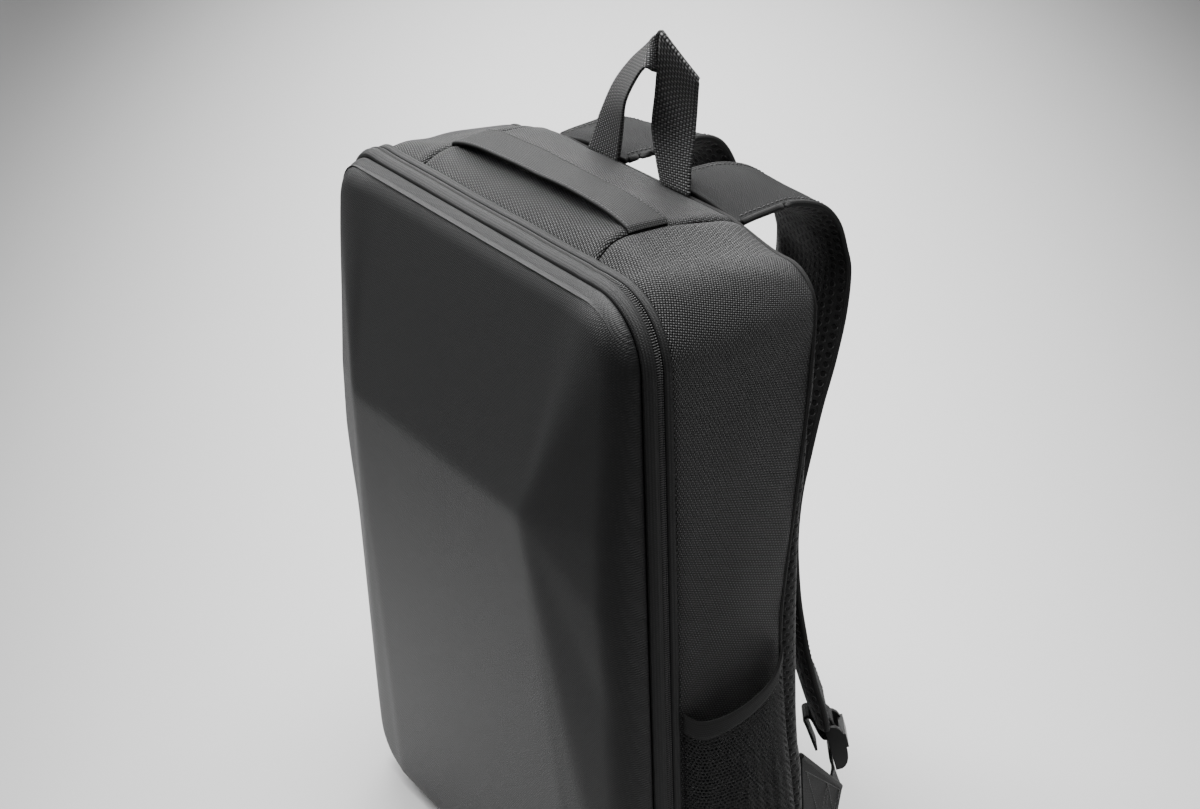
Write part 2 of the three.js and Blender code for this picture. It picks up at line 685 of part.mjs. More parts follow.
function strapGrids(tiltColumn) {
  const shares = [-1, -0.9, -0.5, 0, 0.5, 0.9, 1];
  const face = (isOuter) => strapLine.map(({ row, middle, across, out }, i) => {
    const end = Math.max(i / (strapLine.length - 1) - 0.8, 0) * 5;
    const half = lerp(strapWidth, strapFootWidth, smooth(end)) / 2;
    return shares.map((share) => {
      const full = lerp(strapEdgeThickness, strapThickness, row.pad);
      const thickness = lerp(full, strapEdgeThickness, Math.abs(share) ** 4);
      const crown = strapArch * row.arch * (1 - share * share);
      const lift = crown + strapTilt * row[tiltColumn] * (1 - share) / 2;
      const depth = isOuter ? 0 : thickness;
      return along(along(middle, across, share * half), out, lift - depth);
    });
  });
  return { outer: face(true), inner: face(false) };
}

// Place in the frame of the ladder lock: across it, down it from its middle, and out.
const strapFoot = strapLine.at(-1);
const lockDown = strapFoot.down;
const lockAcross = strapFoot.across;
const lockOut = strapFoot.out;
const loopAllowance = 5;
const lockMiddle = along(
  along(strapFoot.middle, lockDown, loopAllowance + lockLength / 2),
  strapFoot.out,
  -strapEdgeThickness / 2,
);
const lockPoint = (across, down, out) => along(
  along(along(lockMiddle, lockAcross, across), lockDown, down),
  lockOut,
  out,
);

const lockTop = -lockLength / 2;
const upperSlot = { from: lockTop + lockBar, to: lockTop + lockBar + lockSlot };
const lowerSlot = { from: upperSlot.to + lockBar, to: upperSlot.to + lockBar + lockSlot };

function toSolid(geometry) {
  const bare = geometry.clone();
  bare.deleteAttribute('normal');
  bare.deleteAttribute('uv');
  const merged = mergeVertices(bare, 1e-4);
  return new wasm.Manifold(new wasm.Mesh({
    numProp: 3,
    vertProperties: new Float32Array(merged.attributes.position.array),
    triVerts: new Uint32Array(merged.index.array),
  }));
}

// A block of the lock, given by its lower and upper corner as down, out and across.
function lockBlock(low, high) {
  const box = new THREE.BoxGeometry(...subtract(high, low));
  box.translate(...low.map((value, k) => (value + high[k]) / 2));
  return toSolid(box);
}

// The lock is a plate cut by two slots, with a bowed cheek along each side and a thumb tab
// across the upper part of the cheeks.
function lockGeometry() {
  const half = lockThickness / 2;
  const foot = lockLength / 2;
  const crest = half + lockCheekRise;
  const profile = new THREE.Shape();
  profile.moveTo(lockTop, -half);
  profile.lineTo(lockTop, half);
  profile.quadraticCurveTo(lockTop + half, crest, 0, crest - half);
  profile.quadraticCurveTo(foot - half, crest - half, foot, half);
  profile.lineTo(foot, -half);
  profile.closePath();
  const settings = { depth: lockWidth, bevelEnabled: false, curveSegments: 5 };
  const bow = new THREE.ExtrudeGeometry(profile, settings);
  bow.translate(0, 0, -lockWidth / 2);
  const opening = (webbingWidth + 1) / 2;
  const between = lockBlock([-lockLength, half, -opening], [lockLength, crest * 2, opening]);
  let solid = toSolid(bow).subtract(between);
  for (const slot of [upperSlot, lowerSlot]) {
    solid = solid.subtract(lockBlock([slot.from, -lockLength, -opening], [slot.to, lockLength, opening]));
  }
  const tabTop = lockTop + lockLength * lockTabPlace;
  const tab = lockBlock(
    [tabTop, crest - half * 2, -lockWidth / 2],
    [tabTop + lockTabLength, crest - half + lockTabRise, lockWidth / 2],
  );
  const mesh = solid.add(tab).getMesh();
  const points = [];
  for (let i = 0; i < mesh.vertProperties.length; i += mesh.numProp) {
    points.push(Array.from(mesh.vertProperties.slice(i, i + 3)));
  }
  const faces = [];
  for (let i = 0; i < mesh.triVerts.length; i += 3) {
    faces.push(Array.from(mesh.triVerts.slice(i, i + 3)));
  }
  return { points, faces };
}

// A strip of webbing that follows a line in the plane of the lock's side view.
function lockStrip(places) {
  const half = webbingWidth / 2;
  return places.map(([down, out]) => [lockPoint(-half, down, out), lockPoint(half, down, out)]);
}

// Half turn round a bar: the middle of the turn, its radius and the angles in degrees.
function turnRound(down, out, radius, from, to, count) {
  return steps(from, to, count).map((angle) => {
    const radians = angle * Math.PI / 180;
    return [down + radius * Math.cos(radians), out + radius * Math.sin(radians)];
  });
}

const stripHalf = webbingThickness / 2;
const barRest = lockThickness / 2 + seamClearance + stripHalf;
const barSide = lockBar / 2 + stripHalf + seamClearance * 2;

// The folded loop that ties the lock's top bar to the strap.
function anchorLoopGrid() {
  const start = lockTop - loopAllowance + seamClearance * 2;
  const shoulder = lockTop + lockBar * 0.3;
  const waist = lerp(start, lockTop, 0.4);
  const places = [
    [start, stripHalf + seamClearance],
    [waist, barRest * 0.75],
    [lockTop - seamClearance, barRest],
    [shoulder, barRest],
    ...turnRound(upperSlot.from - stripHalf, 0, barRest, 80, -80, 6),
    [shoulder, -barRest],
    [lockTop - seamClearance, -barRest],
    [waist, -barRest * 0.75],
    [start, -stripHalf - seamClearance],
  ];
  return lockStrip(places);
}

// The adjusting webbing: up from the wing, out through the lower slot, over the middle bar,
// in through the upper slot, and on as a short folded free end.
function adjustingGrid(wingTop) {
  const bar = (upperSlot.to + lowerSlot.from) / 2;
  const inside = -barRest;
  const barCrest = lockBar * 0.54;
  const barGap = 0.18;
  const barShoulder = barRest * 0.55;
  const places = [
    [lockLength / 2 + stripHalf, inside - stripHalf],
    [lowerSlot.to + stripHalf, inside - stripHalf],
    [bar + barSide, inside + stripHalf],
    [bar + barSide, barShoulder],
    [bar + barCrest, barRest + barGap],
    [bar - barCrest, barRest + barGap],
    [bar - barSide, barShoulder],
    [bar - barSide, inside + stripHalf],
    [bar - barSide * 1.3, inside - webbingThickness],
    [bar - barSide * 2.4, inside - webbingThickness * 2],
    [lockTop - freeEnd * 0.4, inside - webbingThickness * 3],
    [lockTop - freeEnd * 0.75, inside - webbingThickness * 4],
    [lockTop - freeEnd * 0.8, inside - webbingThickness * 5.4],
    [lockTop - freeEnd * 0.65, inside - webbingThickness * 6.4],
    [lockTop - freeEnd * 0.2, inside - webbingThickness * 6],
    [lowerSlot.from, inside - webbingThickness * 5],
  ];
  const strip = lockStrip(places);
  const first = strip[0];
  const bridge = steps(0, 1, 5).slice(0, -1).map((t) => [0, 1].map((edge) => {
    const bend = Math.sin(Math.PI * t) * stripHalf;
    return wingTop[edge].map((value, k) => lerp(value, first[edge][k], t) - lockOut[k] * bend);
  }));
  return [...bridge, ...strip];
}

// The wing: a doubled cloth triangle sewn beside the back pad, whose tip holds the webbing.
function wingCorners() {
  const rootY = (z) => rimY + backDepth(z) + seamClearance + wingThickness * 0.45;
  const rootX = wingRootWidth / 2;
  const tipX = wingTipWidth / 2;
  const tipY = rimY + gussetDepth + wingReach;
  return {
    rootHigh: [rootX, rootY(wingRootHigh), wingRootHigh],
    rootLow: [rootX, rootY(wingRootLow), wingRootLow],
    tipHigh: [tipX, tipY, wingTipHigh],
    tipLow: [tipX, tipY - wingTipSlant, wingTipLow],
  };
}

function wingGrid() {
  const { rootHigh, rootLow, tipHigh, tipLow } = wingCorners();
  return steps(0, 1, 4).map((t) => steps(0, 1, 4).map((s) => rootHigh.map((_, k) => lerp(
    lerp(rootHigh[k], tipHigh[k], t),
    lerp(rootLow[k], tipLow[k], t),
    s,
  ))));
}

// Where the webbing leaves the top edge of the wing, beside its tip.
function wingWebbingEnds() {
  const { rootHigh, tipHigh } = wingCorners();
  const edge = unit(subtract(rootHigh, tipHigh));
  const lift = [0, 0, seamClearance * 4];
  const near = along(tipHigh, edge, wingHem).map((value, k) => value + lift[k]);
  const far = along(tipHigh, edge, wingHem + webbingWidth).map((value, k) => value + lift[k]);
  return [near, far];
}

function addCarryingGear() {
  const anchor = anchorLoopGrid();
  const webbing = adjustingGrid(wingWebbingEnds());
  const wing = wingGrid();
  const lock = lockGeometry();
  const lockPoints = lock.points.map(([down, out, across]) => lockPoint(across, down, out));
  for (const side of ['right', 'left']) {
    const turn = side === 'right' ? (grid) => grid : mirrorGrid;
    const { outer, inner } = strapGrids(side === 'right' ? 'tilt' : 'leftTilt');
    addWall(`shoulder_strap_${side}`, turn(outer), turn(inner), clothMaterial);
    addWall(`anchor_loop_${side}`, ...stripFaces(turn(anchor), webbingThickness), webbingMaterial);
    addWall(`adjusting_webbing_${side}`, ...stripFaces(turn(webbing), webbingThickness), webbingMaterial);
    addWall(`strap_wing_${side}`, ...stripFaces(turn(wing), wingThickness), clothMaterial);
    addSolid(`ladder_lock_${side}`, turn([lockPoints])[0], lock.faces, plasticMaterial);
  }
}

// A pocket stands off the side panel by a bulge that is closed along its foot and both ends.
const pocketFootPlace = 4.55;
const pocketAlong = steps(0, 1, 12);
const pocketUp = [0, 0.1, 0.25, 0.45, 0.65, 0.85, 1];

function pocketRimHeight(share) {
  return rimLift + pocketTop * readTable(pocketRimRows, 'along', 'height', share);
}

function pocketPoint(share, up, topDrop, proud) {
  const place = lerp(pocketFootPlace, placeOfHeight(pocketRimHeight(share) - topDrop), up);
  const { point, normal } = bagPoint(place, lerp(0.015, 0.985, share));
  const ends = Math.sin(Math.PI * share) ** 0.6;
  const fold = 1 + 0.12 * Math.sin(share * Math.PI * 5) * up;
  const foot = Math.sin(Math.min(up / 0.4, 1) * Math.PI / 2);
  const body = foot * lerp(1, 0.5, smooth(Math.max(up - 0.35, 0) / 0.65));
  return along(point, normal, seamClearance + 0.2 + proud + pocketBulge * ends * body * fold);
}

function addPockets() {
  const net = (proud) => pocketAlong.map((share) => pocketUp.map((up) => (
    pocketPoint(share, up, bindingHeight + seamClearance, proud)
  )));
  const rim = (proud) => pocketAlong.map((share) => {
    const top = pocketPoint(share, 1, 0, proud);
    const low = pocketPoint(share, 1, bindingHeight, proud);
    return [low, top];
  });
  for (const side of ['right', 'left']) {
    const turn = side === 'right' ? (grid) => grid : mirrorGrid;
    addWall(`mesh_pocket_${side}`, turn(net(pocketWall)), turn(net(0)), meshMaterial);
    addWall(`pocket_binding_${side}`, turn(rim(bindingWall)), turn(rim(0)), clothMaterial);
  }
}

// Two sliders close together on the left side of the zip, each with a soft hanging pull.
// Drop is measured down from the case top. Each pull lists how far below the slider's top and
// how far out from the slider's face its line lies.
const sliderRows = [
  { name: 'upper', drop: 29, pull: [[1.5, 0], [6, 1.2], [10, 2.2], [13, 0.8], [20, -0.6], [30, -2.4]] },
  { name: 'lower', drop: 63, pull: [[1.5, 0], [8, 0.4], [14, -0.6], [22, 0.2], [31, 2.2]] },
];

function sliderGeometry() {
  const shape = new THREE.Shape();
  const [half, top] = [sliderWidth / 2, sliderLength / 2];
  shape.moveTo(-half, top);
  shape.lineTo(half, top);
  shape.lineTo(half, 0);
  shape.lineTo(half * 0.6, -top);
  shape.lineTo(-half * 0.6, -top);
  shape.lineTo(-half, 0);
  shape.closePath();
  const body = new THREE.ExtrudeGeometry(shape, { depth: sliderThickness, bevelEnabled: false });
  return body.applyMatrix4(new THREE.Matrix4().makeBasis(
    new THREE.Vector3(0, 1, 0),
    new THREE.Vector3(0, 0, 1),
    new THREE.Vector3(1, 0, 0),
  ));
}

function addSliders() {
  const bandFaceX = -(caseWidth / 2 + tapeProud);
  const sliderFaceX = bandFaceX - seamClearance - sliderThickness;
  const slitY = rimY + seamClearance + frontTapeWidth + zipSlit / 2;
  for (const { name, drop, pull } of sliderRows) {
    const middleZ = rimLift + caseHeight - drop;
    const slider = new THREE.Mesh(sliderGeometry(), sliderMaterial);
    slider.position.set(sliderFaceX, slitY, middleZ);
    slider.name = `zip_slider_${name}`;
    bag.add(slider);
    const grid = pull.map(([down, out], i) => {
      const half = pullWidth / 2 * (i === 0 ? 0.55 : 1);
      const x = sliderFaceX - seamClearance - out;
      const z = middleZ + sliderLength / 2 - down;
      return [[x, slitY - half, z], [x, slitY + half, z]];
    });
    const back = grid.map((column) => column.map(([x, y, z]) => [x - pullThickness, y, z]));
    addWall(`zip_pull_${name}`, grid, back, webbingMaterial);
  }
}

addFrontShell();
addZipBand();
addBody();
addBackPanel();
addHandle();
addHangLoop();
addCarryingGear();
addPockets();
addSliders();

export default bag;
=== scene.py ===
import bpy
import numpy as np
from mathutils import Matrix, Vector


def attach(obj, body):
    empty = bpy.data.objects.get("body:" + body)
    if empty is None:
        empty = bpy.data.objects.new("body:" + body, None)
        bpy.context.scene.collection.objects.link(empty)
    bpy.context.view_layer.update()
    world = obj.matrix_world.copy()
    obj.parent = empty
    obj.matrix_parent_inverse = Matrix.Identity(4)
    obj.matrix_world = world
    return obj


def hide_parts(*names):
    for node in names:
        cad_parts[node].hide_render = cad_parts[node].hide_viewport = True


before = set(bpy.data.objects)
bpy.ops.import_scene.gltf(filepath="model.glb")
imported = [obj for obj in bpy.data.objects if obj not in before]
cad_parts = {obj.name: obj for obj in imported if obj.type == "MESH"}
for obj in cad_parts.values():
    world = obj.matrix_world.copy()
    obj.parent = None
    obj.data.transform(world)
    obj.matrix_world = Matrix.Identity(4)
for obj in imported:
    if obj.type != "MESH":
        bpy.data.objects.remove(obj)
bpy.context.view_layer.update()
print("frame loaded")


# numbers and curves

def lerp(a, b, t):
    return a + (b - a) * t


def smoothStep(t):
    t = np.clip(t, 0, 1)
    return t * t * (3 - 2 * t)


def bell(x, middle, width):
    return np.exp(-(((x - middle) / width) ** 2))


def unit(v):
    return v / np.maximum(np.linalg.norm(v, axis=-1, keepdims=True), 1e-9)


def ripple(x, y, length, seed):
    # sum of sine waves with random directions, phases and lengths near the one given
    rng = np.random.default_rng(seed)
    waves = 10
    angle = rng.uniform(0, 2 * np.pi, waves)
    phase = rng.uniform(0, 2 * np.pi, waves)
    size = length * rng.uniform(0.6, 1.7, waves)
    along = np.asarray(x)[..., None] * np.cos(angle) + np.asarray(y)[..., None] * np.sin(angle)
    return np.sin(along * 2 * np.pi / size + phase).sum(-1) / np.sqrt(waves)


def splineRows(rows, count):
    # smooth curve through the rows of a table, spaced evenly by row number:
    # p(t) = Hermite cubic with each row's slope taken from its two neighbours
    rows = np.asarray(rows, float)
    slope = np.gradient(rows, axis=0)
    t = np.linspace(0, len(rows) - 1, count)
    i = np.minimum(t.astype(int), len(rows) - 2)
    f = (t - i)[:, None]
    a, b, ma, mb = rows[i], rows[i + 1], slope[i], slope[i + 1]
    return ((2 * f**3 - 3 * f**2 + 1) * a + (f**3 - 2 * f**2 + f) * ma
            + (-2 * f**3 + 3 * f**2) * b + (f**3 - f**2) * mb)


def lengthAlong(points):
    # distance from the first point to each of the others, measured along the line
    return np.concatenate([[0], np.cumsum(np.linalg.norm(np.diff(points, axis=0), axis=1))])


def evenCurve(points, spacing):
    # the same curve with its points a fixed distance apart
    run = lengthAlong(points)
    at = np.linspace(0, run[-1], max(int(run[-1] / spacing), 2) + 1)
    return np.stack([np.interp(at, run, points[:, k]) for k in range(points.shape[1])], -1)


# meshes

def gridFaces(rows, columns, wrapRows=False, wrapColumns=False):
    i = np.arange(rows if wrapRows else rows - 1)[:, None]
    j = np.arange(columns if wrapColumns else columns - 1)[None, :]
    iNext, jNext = (i + 1) % rows, (j + 1) % columns
    corners = [i * columns + j, i * columns + jNext, iNext * columns + jNext, iNext * columns + j]
    return np.stack(np.broadcast_arrays(*corners), -1).reshape(-1, 4)


def gridCorners(uv):
    # the four corner values of every quad; a wrapped grid brings one more row or column
    parts = [uv[:-1, :-1], uv[:-1, 1:], uv[1:, 1:], uv[1:, :-1]]
    return np.stack(parts, 2).reshape(-1, 2)


def gridNormals(grid):
    return unit(np.cross(np.gradient(grid, axis=0), np.gradient(grid, axis=1)))


def turnOutwards(verts, faces):
    # sign of the volume under the faces says which way they point
    p = verts[faces]
    volume = np.einsum("ij,ij->i", p[:, 0], np.cross(p[:, 1], p[:, 2])).sum()
    volume += np.einsum("ij,ij->i", p[:, 0], np.cross(p[:, 2], p[:, 3])).sum()
    return volume < 0


def makePiece(name, verts, faces, materials, uv=None, faceMaterial=None, replaced=()):
    # verts in millimetres, faces as quads, uv one pair for each corner of each quad
    verts = np.asarray(verts, float).reshape(-1, 3)
    if turnOutwards(verts, faces):
        faces = faces[:, ::-1]
        if uv is not None:
            uv = uv.reshape(-1, 4, 2)[:, ::-1].reshape(-1, 2)
    mesh = bpy.data.meshes.new(name)
    mesh.vertices.add(len(verts))
    mesh.vertices.foreach_set("co", (verts * 0.001).ravel())
    loops = faces.ravel().astype(np.int32)
    mesh.loops.add(len(loops))
    mesh.loops.foreach_set("vertex_index", loops)
    mesh.polygons.add(len(faces))
    mesh.polygons.foreach_set("loop_start", np.arange(0, len(loops), 4, dtype=np.int32))
    mesh.polygons.foreach_set("use_smooth", np.ones(len(faces), bool))
    for material in materials:
        mesh.materials.append(material)
    if faceMaterial is not None:
        mesh.polygons.foreach_set("material_index", np.asarray(faceMaterial, np.int32))
    if uv is not None:
        layer = mesh.uv_layers.new(name="cloth")
        layer.data.foreach_set("uv", (np.asarray(uv) * 0.001).ravel())
    mesh.update(calc_edges=True)
    mesh.validate()
    piece = bpy.data.objects.new(name, mesh)
    bpy.context.collection.objects.link(piece)
    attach(piece, "root")
    if replaced:
        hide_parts(*replaced)
    return piece


def tubeFaces(rows, columns):
    # quads of a closed tube; a cap zips the two halves of its end ring together
    j = np.arange(columns // 2 - 1)
    cap = np.stack([j, j + 1, columns - 2 - j, columns - 1 - j], -1)
    return np.concatenate([
        gridFaces(rows, columns, wrapColumns=True), cap[:, ::-1], cap + (rows - 1) * columns])


def tubeUv(lengths, around):
    # u runs along the tube and v round it, both in millimetres; the caps stay bare
    uv = np.stack(np.broadcast_arrays(lengths[:, None], around[None, :]), -1)
    capCount = 2 * ((len(around) - 1) // 2 - 1)
    return np.concatenate([gridCorners(uv), np.zeros((capCount * 4, 2))])


def thereAndBack(across):
    # distance round a flat section: over its one face, back under the other, and closed
    return np.concatenate([across, across[::-1], across[:1]])


def makeSlab(name, grid, thickness, material, node, endSoft=0.0):
    # a sheet with two faces: the grid moved half a thickness along its normals to each side.
    # thickness may vary over the grid, and thins over the first endSoft rows at both ends.
    normal = gridNormals(grid)
    t = np.broadcast_to(np.asarray(thickness, float), grid.shape[:2]).copy()
    if endSoft:
        n = len(grid)
        k = np.minimum(np.arange(n), n - 1 - np.arange(n)) / endSoft
        t = t * np.sqrt(np.clip(0.15 + k, 0, 1))[:, None]
    half = normal * t[..., None] / 2
    rings = np.concatenate([grid + half, (grid - half)[:, ::-1]], 1)
    along = lengthAlong(grid[:, grid.shape[1] // 2])
    uv = tubeUv(along, thereAndBack(lengthAlong(grid[len(grid) // 2])))
    return makePiece(name, rings, tubeFaces(*rings.shape[:2]), [material], uv, replaced=[node])


def mirrored(points):
    return np.asarray(points) * np.array([-1.0, 1.0, 1.0])


sides = (("Right", np.asarray), ("Left", mirrored))  # what is on both sides is made by this pair


def thread(name, centres, along, outward, size, material, replaced=()):
    # many short stitches as one mesh: each is a bent bead, five rings of six points
    count = len(centres)
    t = np.linspace(-1, 1, 5)[:, None]
    angle = np.arange(6)[None, :] * np.pi / 3
    length, width, rise = size
    radius = width / 2 * np.sqrt(np.clip(1.04 - t**2, 0.04, 1))
    side = np.cross(along, outward)
    a = (length / 2 * t + 0 * angle)[None, ..., None] * along[:, None, None, :]
    b = (radius * np.cos(angle))[None, ..., None] * side[:, None, None, :]
    c = (radius * np.sin(angle) + rise * (1 - t**2))[None, ..., None] * outward[:, None, None, :]
    beads = centres[:, None, None, :] + a + b + c
    faces = (np.arange(count)[:, None, None] * 30 + tubeFaces(5, 6)[None]).reshape(-1, 4)
    return makePiece(name, beads, faces, [material], replaced=replaced)


# materials

def mathNode(tree, operation, a, b=None, c=None):
    node = tree.nodes.new("ShaderNodeMath")
    node.operation = operation
    for socket, value in zip(node.inputs, (a, b, c)):
        if value is None:
            continue
        if isinstance(value, (int, float)):
            socket.default_value = value
        else:
            tree.links.new(value, socket)
    return node.outputs[0]


def newGroup(name, inputs, outputs):
    tree = bpy.data.node_groups.new(name, "ShaderNodeTree")
    for label, kind, value in inputs:
        socket = tree.interface.new_socket(name=label, in_out="INPUT", socket_type=kind)
        if value is not None:
            socket.default_value = value
    for label, kind in outputs:
        tree.interface.new_socket(name=label, in_out="OUTPUT", socket_type=kind)
    return tree, tree.nodes.new("NodeGroupInput").outputs, tree.nodes.new("NodeGroupOutput").inputs


def wave(tree, value):
    # size of a sine that has one hump for every unit
    turned = mathNode(tree, "MULTIPLY", value, float(np.pi))
    return mathNode(tree, "ABSOLUTE", mathNode(tree, "SINE", turned))


def buildWeaveGroup():
    # woven threads: two sets of humps at right angles, and a checker says which set is on top
    tree, given, out = newGroup("wovenThreads", [
        ("Vector", "NodeSocketVector", None),
        ("Pitch U", "NodeSocketFloat", 0.001),
        ("Pitch V", "NodeSocketFloat", 0.001),
    ], [("Height", "NodeSocketFloat")])
    split = tree.nodes.new("ShaderNodeSeparateXYZ")
    tree.links.new(given["Vector"], split.inputs[0])
    u = mathNode(tree, "DIVIDE", split.outputs[0], given["Pitch U"])
    v = mathNode(tree, "DIVIDE", split.outputs[1], given["Pitch V"])
    humpU, humpV = wave(tree, u), wave(tree, v)
    parity = mathNode(tree, "ADD", mathNode(tree, "FLOOR", u), mathNode(tree, "FLOOR", v))
    onTop = mathNode(tree, "PINGPONG", parity, 1.0)

    def rounded(hump, other):
        return mathNode(
            tree, "MULTIPLY", mathNode(tree, "POWER", hump, 0.6), mathNode(tree, "POWER", other, 0.35))

    first = mathNode(tree, "MULTIPLY", rounded(humpU, humpV), onTop)
    second = mathNode(tree, "MULTIPLY", rounded(humpV, humpU), mathNode(tree, "SUBTRACT", 1.0, onTop))
    tree.links.new(mathNode(tree, "MULTIPLY_ADD", second, 0.72, first), out["Height"])
    return tree


def buildMottleGroup():
    # slow cloudy change of tone, and fine dust in the same value range
    tree, given, out = newGroup("mottle", [
        ("Vector", "NodeSocketVector", None),
        ("Scale", "NodeSocketFloat", 20.0),
        ("Amount", "NodeSocketFloat", 0.1),
    ], [("Factor", "NodeSocketFloat"), ("Fine", "NodeSocketFloat")])
    noises = []
    for times in (1.0, 14.0):
        noise = tree.nodes.new("ShaderNodeTexNoise")
        noise.inputs["Detail"].default_value = 3.0
        tree.links.new(given["Vector"], noise.inputs["Vector"])
        tree.links.new(mathNode(tree, "MULTIPLY", given["Scale"], times), noise.inputs["Scale"])
        noises.append(mathNode(tree, "SUBTRACT", noise.outputs["Fac"], 0.5))
    cloudy = mathNode(tree, "MULTIPLY_ADD", noises[0], given["Amount"], 1.0)
    fineAmount = mathNode(tree, "MULTIPLY", given["Amount"], 0.5)
    tree.links.new(mathNode(tree, "MULTIPLY_ADD", noises[1], fineAmount, cloudy), out["Factor"])
    tree.links.new(noises[1], out["Fine"])
    return tree


def buildHoleGroup():
    # rows of oval holes, every second row moved half a step: distance from the nearest centre
    tree, given, out = newGroup("holeRows", [
        ("Vector", "NodeSocketVector", None),
        ("Pitch U", "NodeSocketFloat", 0.004),
        ("Pitch V", "NodeSocketFloat", 0.0035),
        ("Radius", "NodeSocketFloat", 0.33),
        ("Soft", "NodeSocketFloat", 0.08),
    ], [("Hole", "NodeSocketFloat"), ("Height", "NodeSocketFloat")])
    split = tree.nodes.new("ShaderNodeSeparateXYZ")
    tree.links.new(given["Vector"], split.inputs[0])
    v = mathNode(tree, "DIVIDE", split.outputs[1], given["Pitch V"])
    odd = mathNode(tree, "MULTIPLY", mathNode(tree, "PINGPONG", mathNode(tree, "FLOOR", v), 1.0), 0.5)
    u = mathNode(tree, "ADD", mathNode(tree, "DIVIDE", split.outputs[0], given["Pitch U"]), odd)
    du = mathNode(tree, "SUBTRACT", mathNode(tree, "FRACT", u), 0.5)
    dv = mathNode(tree, "SUBTRACT", mathNode(tree, "FRACT", v), 0.5)
    far = mathNode(tree, "SQRT", mathNode(
        tree, "ADD", mathNode(tree, "MULTIPLY", du, du), mathNode(tree, "MULTIPLY", dv, dv)))
    ramp = mathNode(tree, "DIVIDE", mathNode(tree, "SUBTRACT", given["Radius"], far), given["Soft"])
    hole = mathNode(tree, "MINIMUM", mathNode(tree, "MAXIMUM", mathNode(tree, "ADD", ramp, 0.5), 0.0), 1.0)
    tree.links.new(hole, out["Hole"])
    tree.links.new(mathNode(tree, "SUBTRACT", 1.0, hole), out["Height"])
    return tree


groups = {"weave": buildWeaveGroup(), "mottle": buildMottleGroup(), "holes": buildHoleGroup()}


def placeGroup(tree, key, vector, **values):
    node = tree.nodes.new("ShaderNodeGroup")
    node.node_tree = groups[key]
    tree.links.new(vector, node.inputs["Vector"])
    for label, value in values.items():
        node.inputs[label.replace("_", " ")].default_value = value
    return node.outputs


def startMaterial(name, colour, roughness, metallic=0.0, sheen=0.0, specular=0.5):
    material = bpy.data.materials.new(name)
    material.use_nodes = True
    tree = material.node_tree
    shader = tree.nodes["Principled BSDF"]
    shader.inputs["Base Color"].default_value = (*colour, 1)
    shader.inputs["Roughness"].default_value = roughness
    shader.inputs["Metallic"].default_value = metallic
    shader.inputs["Specular IOR Level"].default_value = specular
    if sheen:
        shader.inputs["Sheen Weight"].default_value = sheen
        shader.inputs["Sheen Roughness"].default_value = 0.5
    material.diffuse_color = (*colour, 1)
    return material, tree, shader


def coordinates(tree, kind, turn=0.0):
    # the piece's own cloth map, its place in the object, either turned about the last axis, or
    # upright: across and depth added together, then height
    if kind == "cloth":
        node = tree.nodes.new("ShaderNodeUVMap")
        node.uv_map = "cloth"
        vector = node.outputs["UV"]
    else:
        vector = tree.nodes.new("ShaderNodeTexCoord").outputs["Object"]
    if kind == "upright":
        split, join = tree.nodes.new("ShaderNodeSeparateXYZ"), tree.nodes.new("ShaderNodeCombineXYZ")
        tree.links.new(vector, split.inputs[0])
        tree.links.new(mathNode(tree, "ADD", split.outputs[0], split.outputs[1]), join.inputs[0])
        tree.links.new(split.outputs[2], join.inputs[1])
        return join.outputs[0]
    if not turn:
        return vector
    mapping = tree.nodes.new("ShaderNodeMapping")
    mapping.inputs["Rotation"].default_value = (0, 0, turn)
    tree.links.new(vector, mapping.inputs["Vector"])
    return mapping.outputs[0]


def tint(tree, shader, dark, light, factor, brightness=None):
    # base colour between two tones by a mask, then times a slow change of brightness
    mix = tree.nodes.new("ShaderNodeMix")
    mix.data_type = "RGBA"
    mix.inputs["A"].default_value = (*dark, 1)
    mix.inputs["B"].default_value = (*light, 1)
    tree.links.new(factor, mix.inputs["Factor"])
    colour = mix.outputs["Result"]
    if brightness is not None:
        scale = tree.nodes.new("ShaderNodeVectorMath")
        scale.operation = "SCALE"
        tree.links.new(colour, scale.inputs[0])
        tree.links.new(brightness, scale.inputs["Scale"])
        colour = scale.outputs[0]
    tree.links.new(colour, shader.inputs["Base Color"])


def bump(tree, shader, heights):
    # heights is a list of (socket, strength, distance in metres), laid over each other
    normal = None
    for socket, strength, distance in heights:
        node = tree.nodes.new("ShaderNodeBump")
        node.inputs["Strength"].default_value = strength
        node.inputs["Distance"].default_value = distance
        tree.links.new(socket, node.inputs["Height"])
        if normal is not None:
            tree.links.new(normal, node.inputs["Normal"])
        normal = node.outputs["Normal"]
    tree.links.new(normal, shader.inputs["Normal"])


def mottled(tree, scale, amount):
    return placeGroup(tree, "mottle", coordinates(tree, "object"), Scale=scale, Amount=amount)


def grey(value, blue=0.0):
    return (value, value + blue * 0.4, value + blue)


def filmMaterial(name, dark, light, roughness, pitch, turn, specular):
    # smooth film with a faint woven stamp, laid flat over the front
    material, tree, shader = startMaterial(name, light, roughness, specular=specular)
    film = placeGroup(tree, "weave", coordinates(tree, "cloth", turn), Pitch_U=pitch, Pitch_V=pitch)
    tint(tree, shader, dark, light, film["Height"], mottled(tree, 8.0, 0.1)["Factor"])
    bump(tree, shader, [(film["Height"], 0.6, 0.0003)])
    return material


